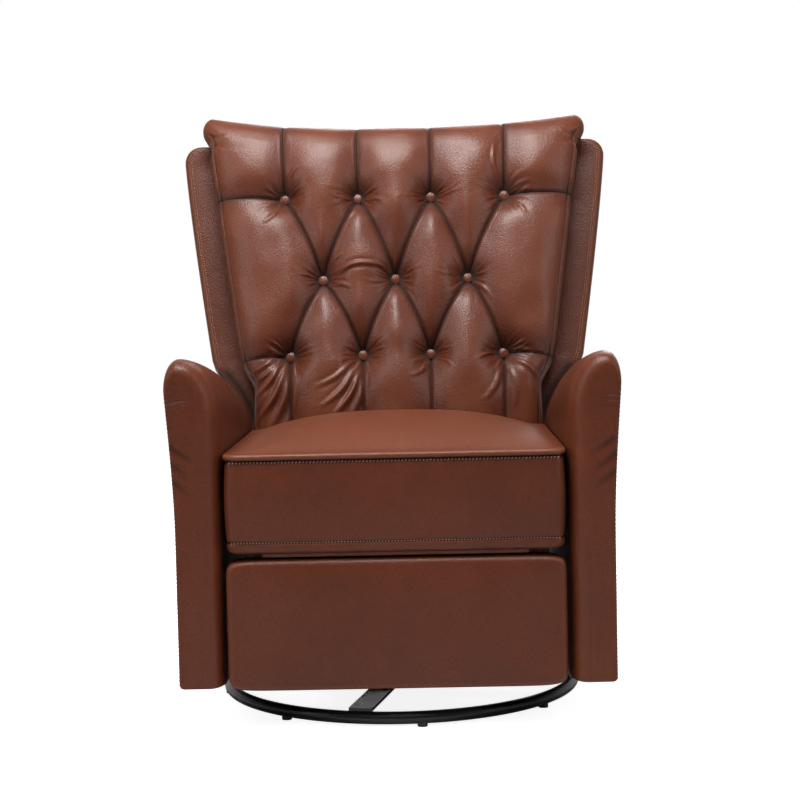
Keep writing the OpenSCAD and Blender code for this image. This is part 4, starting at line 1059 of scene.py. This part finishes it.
def cushion_rings(edge):
    """Rings that close the cushion behind the edge of its face, and their middle."""
    in_plane = np.array([1.0, 0.0, 1.0])
    mid = np.array([0.0, CUSHION_BACK, (CUSHION_LOW + CUSHION_TOP) / 2])
    out = (edge - mid) * in_plane
    out /= np.linalg.norm(out, axis=1, keepdims=True)
    rings = [(edge - out * draw) * in_plane + (0.0, depth, 0.0) for draw, depth in CUSHION_SIDES]
    return rings + [mid + (rings[-1] - mid) * in_plane * share for share in (0.9, 0.6, 0.3)], mid


class RECLINER_OT_back_cushion(Operator):
    """Tufted back cushion, drawn in at its seams and buttons"""

    bl_idname = "recliner.back_cushion"
    bl_label = "Back cushion"

    def execute(self, context):
        s, v = crowded(CUSHION_COLUMNS, 1.2), 0.5 + 0.5 * crowded(CUSHION_ROWS, 1.15)
        x, z = np.moveaxis(cushion_grid(s, v), -1, 0)
        depth, tone, signed = cushion_front(x, z, context.scene.recliner_sizes, *np.meshgrid(s, v))
        ray, gather = button_rays(x, z)
        front = np.stack([x, CUSHION_EDGE - depth, z], axis=-1).reshape(-1, 3)
        grid = np.arange(x.size).reshape(x.shape)
        edge = np.concatenate([grid[0], grid[1:, -1], grid[-1, -2::-1], grid[-2:0:-1, 0]])
        rings, mid = cushion_rings(front[edge])
        n, centre = len(edge), x.size + len(rings) * len(edge)
        numbers = np.concatenate([edge, np.arange(x.size, centre)])
        faces = np.stack([grid[:-1, :-1], grid[:-1, 1:], grid[1:, 1:], grid[1:, :-1]], axis=-1)
        faces = [*faces.reshape(-1, 4), *numbers[turned(ring_faces(len(rings) + 1, n))]]
        faces += [(j, i, centre) for i, j in neighbours(n, centre - n)]
        points = np.concatenate([front, *rings, [mid]])
        # Painted shade on the cushion's sides and back, darkest low down behind the arms.
        side_tone = 0.08 + 0.26 * smooth_step((front[edge, 2] - 270.0) / 60.0)

        def with_rest(values, behind):
            """Values on the face, and one value on all that is behind it."""
            values = values.reshape(x.size, *values.shape[2:])
            return np.concatenate([values, np.full((len(points) - x.size, *values.shape[1:]), behind)])

        cushion = new_mesh_object(
            "back_cushion_cover", on_back(points) * MM, faces, finishes()["Leather, back"],
            tone=np.concatenate([tone.ravel(), np.tile(side_tone, len(rings)), [0.3]]),
            seam=with_rest(np.clip(signed, -5.0, 5.0), 5.0),
            near=with_rest(np.clip(1.0 - np.abs(signed) / 5.0, 0.0, 1.0), 0.0),
            gather=with_rest(gather, 0.0),
            ray=with_rest(ray, 0.0),
        )
        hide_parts("back_cushion")
        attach(cushion, "back")
        return {"FINISHED"}


def button_tree(button):
    """Puts one button on each point, turned a little at random about its own axis."""
    t = Repeat("Buttons", {"Turn": "Rotation"})
    source = t.make("GeometryNodeObjectInfo", {}, {"Object": button}, "Geometry")
    most = (0.06, 0.06, 3.1)
    span = {0: tuple(-angle for angle in most), 1: most, "Seed": 5}
    spin = t.make("FunctionNodeRandomValue", {"data_type": "FLOAT_VECTOR"}, span)
    return t.end(Points=t.given("Places"), Instance=source, Rotation=t.turned(t.given("Turn"), spin))


BUTTON_PROFILE = (
    # share of the radius and height of each ring of a button, in metres
    (0.55, -0.006), (0.90, -0.0048), (1.0, -0.0020), (1.0, 0.0006),
    (0.93, 0.0021), (0.76, 0.0030), (0.48, 0.0036), (0.20, 0.0039),
)
BUTTON_FOOT, BUTTON_HEAD = -0.006, 0.0040
BUTTON_RISE = 3.2  # mm that a button's middle stands out of its tuft


class RECLINER_OT_buttons(Operator):
    """Leather-covered buttons in the tufts"""

    bl_idname = "recliner.buttons"
    bl_label = "Buttons"

    def execute(self, context):
        sizes = context.scene.recliner_sizes
        n = 32
        points = []
        for share, height in BUTTON_PROFILE:
            for i in range(n):
                a = 2 * math.pi * i / n
                gather = 1.0 + (0.012 * math.cos(9 * a) if height < 0.002 else 0.0)
                radius = share * sizes.button_radius * gather
                points.append((radius * math.cos(a), radius * math.sin(a), height))
        low, high, top = len(points), len(points) + 1, len(points) - n
        faces = ring_faces(len(BUTTON_PROFILE), n)
        for i, j in neighbours(n):
            faces += [(low, j, i), (high, top + i, top + j)]
        button = new_mesh_object("Button", points + [(0.0, 0.0, BUTTON_FOOT), (0.0, 0.0, BUTTON_HEAD)], faces)
        places = []
        for bx, bz in BUTTONS:
            depth = cushion_front(np.array([bx]), np.array([bz]), sizes)[0]
            places.append(on_back((bx, CUSHION_EDGE - float(depth[0]) - BUTTON_RISE, bz)) * MM)
        values = {"Turn": (math.pi / 2 - BACK_TILT, 0.0, 0.0), "Material": finishes()["Leather, buttons"]}
        dots = laid_out(new_mesh_object("Button places", places, []), button_tree(button), values)
        dots = placed("button_covers", dots)
        bpy.data.objects.remove(button)
        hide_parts("back_buttons")
        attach(dots, "back")
        return {"FINISHED"}


PAD_POINTS = 300


def pad_outline(half, square):
    """Rounded rectangle with even spacing."""
    t = np.linspace(0, 2 * math.pi, 2400, endpoint=False)
    heading = np.stack([np.cos(t), np.sin(t)], axis=1)
    reach = (np.abs(heading) ** square).sum(axis=1, keepdims=True) ** (-1.0 / square)
    return even_outline(heading * reach * half, PAD_POINTS)


def drawn_in(outline, half, draw, share=1.0):
    """A pad's outline times a share, its sides drawn in by an amount that its corners hardly feel."""
    side = outline / half
    return outline * share - np.sign(side) * np.abs(side) ** 11 * draw


SEAT_FOOT = (
    # how far a ring is drawn in, its height over the seat's underside, its painted light and shade (dark in
    # the groove of the lower stitching)
    (9.0, 0.6, 0.5), (5.0, 2.2, 0.5), (1.8, 6.0, 0.55), (0.6, 12.0, 0.5),
    (1.0, 15.6, 0.5), (2.0, 16.6, 0.1), (2.0, 19.4, 0.1), (0.6, 20.4, 0.5),
)
SEAT_SEAM = (
    # the same for the top seam and the fold over it, with heights over the top of the band; painted shade in
    # the seam's groove, painted highlight on the fold
    (0.6, -9.0, 0.5), (0.2, -8.0, 0.55), (0.9, -7.0, 0.2), (1.6, -5.0, 0.06),
    (3.2, -3.2, 0.0), (2.6, -2.2, 0.0), (-0.4, -1.2, 0.5), (-2.2, 0.6, 0.8),
    (-2.9, 3.0, 0.95), (-2.2, 5.4, 1.0), (0.2, 7.2, 1.0), (4.0, 7.9, 0.6),
)
SEAT_FOLD_IN, SEAT_FOLD_TOP = 9.0, 7.4  # where the crown starts: in from the sides, and over the band


class RECLINER_OT_seat_cushion(Operator):
    """Crowned seat cushion with a fold over its top seam"""

    bl_idname = "recliner.seat_cushion"
    bl_label = "Seat cushion"

    def execute(self, context):
        half = np.array([SEAT_W, SEAT_REAR - SEAT_FRONT]) / 2
        mid_y, top = (SEAT_REAR + SEAT_FRONT) / 2, SEAT_LOW + SEAT_BAND
        outline = pad_outline(half, 26)
        rings, tones = [], []

        def ring(flat, z, tone=0.5):
            rings.append(np.stack([flat[:, 0], flat[:, 1] + mid_y, np.broadcast_to(z, PAD_POINTS)], axis=1))
            tones.append(np.full(PAD_POINTS, tone))

        for share in (0.3, 0.6, 0.85, 0.93):
            ring(outline * share, SEAT_LOW + 0.4)
        for draw, rise, tone in SEAT_FOOT:
            ring(drawn_in(outline, half, draw), SEAT_LOW + rise, tone)
        for rise in np.linspace(26.0, SEAT_BAND - 10.0, 12):
            swell = 2.5 * math.sin(math.pi * (rise - 20.0) / (SEAT_BAND - 28.0))
            ring(drawn_in(outline, half, 0.4 - swell), SEAT_LOW + rise)
        for draw, rise, tone in SEAT_SEAM:
            ring(drawn_in(outline, half, draw), top + rise, tone)
        # Painted highlight: the whole top is lighter.
        steps = 26
        for k in range(1, steps):
            flat = outline * (1.0 - k / steps) * (1 - SEAT_FOLD_IN / half[0])
            over = np.prod(1 - np.abs(flat / (half - SEAT_FOLD_IN)) ** 2.6, axis=1)
            rise = SEAT_FOLD_TOP + (SEAT_CROWN - SEAT_FOLD_TOP) * np.clip(over, 0.0, 1.0) ** 0.85
            ring(flat, top + rise, 0.80)
        mids = (0, mid_y, SEAT_LOW + 0.4), (0, mid_y, top + SEAT_CROWN)
        seat = loft("seat_cushion_cover", rings, tones, finishes()["Leather"], mids)
        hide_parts("seat_cushion")
        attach(seat, "carriage")
        return {"FINISHED"}


LEG_REST_HALF, LEG_REST_MID = (263.0, 102.5), 167.5
LEG_REST_BACK, LEG_REST_FRONT, LEG_REST_ROLL = -282.0, -329.0, 11.0


class RECLINER_OT_leg_rest(Operator):
    """Padded face of the leg rest"""

    bl_idname = "recliner.leg_rest"
    bl_label = "Leg rest"

    def execute(self, context):
        half, roll = np.array(LEG_REST_HALF), LEG_REST_ROLL
        outline = pad_outline(half, 16)
        back, front = LEG_REST_BACK, LEG_REST_FRONT
        rings, tones = [], []

        def ring(flat, y, tone=0.5):
            rings.append(np.stack([flat[:, 0], np.full(PAD_POINTS, y), flat[:, 1] + LEG_REST_MID], axis=1))
            tones.append(np.full(PAD_POINTS, tone))

        for share in (0.3, 0.65, 0.9):
            ring(outline * share, back)
        # Painted shade on the sides behind the rolled front.
        ring(drawn_in(outline, half, 5.0), back, 0.1)
        ring(drawn_in(outline, half, 1.0), back - 3.0, 0.1)
        for y in np.linspace(back - 8.0, front + 20.0, 4):
            ring(drawn_in(outline, half, -0.4), y, 0.15)
        # Painted highlight on the rolled front edge.
        for a in degrees(0, 90, 8):
            flat = drawn_in(outline, half, roll * (1 - math.cos(a)))
            ring(flat, front + 16.0 - roll * math.sin(a), 0.5 + 0.22 * math.sin(2 * a))
        steps = 14
        for k in range(1, steps):
            share = 1.0 - k / steps
            ring(outline * (1 - roll / half) * share, front + 5.0 - 4.6 * (1 - share**3))
        mids = (0, back, LEG_REST_MID), (0, front + 0.4, LEG_REST_MID)
        pad = loft("leg_rest_cover", rings, tones, finishes()["Leather"], mids, flip=True)
        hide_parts("leg_rest_pad")
        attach(pad, "leg_rest")
        return {"FINISHED"}


# half lengths of the stitches and the radius of the arms' thread, in metres
SEAM_STITCH, FINE_STITCH, ARM_STITCH, ARM_THREAD = 0.0023, 0.0016, 0.0029, 0.0015


class RECLINER_OT_stitching(Operator):
    """Thread along the seams"""

    bl_idname = "recliner.stitching"
    bl_label = "Stitching"

    def execute(self, context):
        sizes = context.scene.recliner_sizes
        thread, r = finishes()["Thread"], sizes.stitch_radius
        ahead = (0.0, -1.0, 0.0)
        xs = np.linspace(-252.0, 252.0, 60)
        seam = [(x, SEAT_FRONT + 0.6, SEAT_LOW + SEAT_BAND - 5.2) for x in xs]
        hem = [(x, SEAT_FRONT + 1.3, SEAT_LOW + 18.0) for x in xs]
        seat = joined("seat_stitches", [
            stitch_run(seam, sizes.seam_spacing, SEAM_STITCH, r, 0.75, ahead, thread),
            stitch_run(hem, sizes.hem_spacing, FINE_STITCH, r * 0.9, 0.45, ahead, thread),
        ])
        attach(seat, "carriage")

        facing = tuple(on_back((0, -1, 0)) - on_back((0, 0, 0)))
        runs = []
        for draw in (8.6, 12.6):
            line = shell_outline(draw, 600)
            for sign in (-1, 1):
                part = line[(line[:, 0] * sign > 300) & (line[:, 1] > WING_LOW + 8.0)]
                part = at_depth(part[np.argsort(part[:, 1])], SHELL_FRONT - 0.2)
                run = stitch_run(part, sizes.topstitch_spacing, FINE_STITCH, r * 0.9, 0.0, facing, thread)
                runs.append(run)
        shell = joined("wing_stitches", runs)
        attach(shell, "back")

        zs = np.linspace(ARM_LOW + 8.0, ARM_TOP - 62.0, 80)
        leather = finishes()["Leather, buttons"]
        runs = []
        for sign in (-1, 1):
            edge = [(sign * (arm_side_x(z) - 0.9), ARM_FRONT + 5.0, z) for z in zs]
            runs.append(stitch_run(edge, sizes.arm_spacing, ARM_STITCH, ARM_THREAD, 0.25, ahead, leather))
        arms = joined("arm_edge_stitches", runs)
        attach(arms, "chassis")
        return {"FINISHED"}


STEPS = (
    RECLINER_OT_stage,
    RECLINER_OT_framework,
    RECLINER_OT_arms,
    RECLINER_OT_back_shell,
    RECLINER_OT_back_cushion,
    RECLINER_OT_buttons,
    RECLINER_OT_seat_cushion,
    RECLINER_OT_leg_rest,
    RECLINER_OT_stitching,
)


class RECLINER_PT_panel(Panel):
    """Lists the recliner's pieces"""

    bl_idname = "RECLINER_PT_panel"
    bl_label = "Recliner"
    bl_space_type = "VIEW_3D"
    bl_region_type = "UI"
    bl_category = "Recliner"

    def draw(self, context):
        scene = context.scene
        for group in (scene.recliner_sizes, scene.recliner_colours):
            for name in group.bl_rna.properties.keys():
                if name not in ("rna_type", "name"):
                    self.layout.prop(group, name)
        for step in STEPS:
            self.layout.operator(step.bl_idname)


CLASSES = (ReclinerSizes, ReclinerColours, *STEPS, RECLINER_PT_panel)


def register():
    for cls in CLASSES:
        bpy.utils.register_class(cls)
    bpy.types.Scene.recliner_sizes = PointerProperty(type=ReclinerSizes)
    bpy.types.Scene.recliner_colours = PointerProperty(type=ReclinerColours)


def unregister():
    del bpy.types.Scene.recliner_colours
    del bpy.types.Scene.recliner_sizes
    for cls in reversed(CLASSES):
        bpy.utils.unregister_class(cls)


def main():
    register()
    for step in STEPS:
        group, name = step.bl_idname.split(".")
        getattr(getattr(bpy.ops, group), name)()


if __name__ == "__main__":
    main()
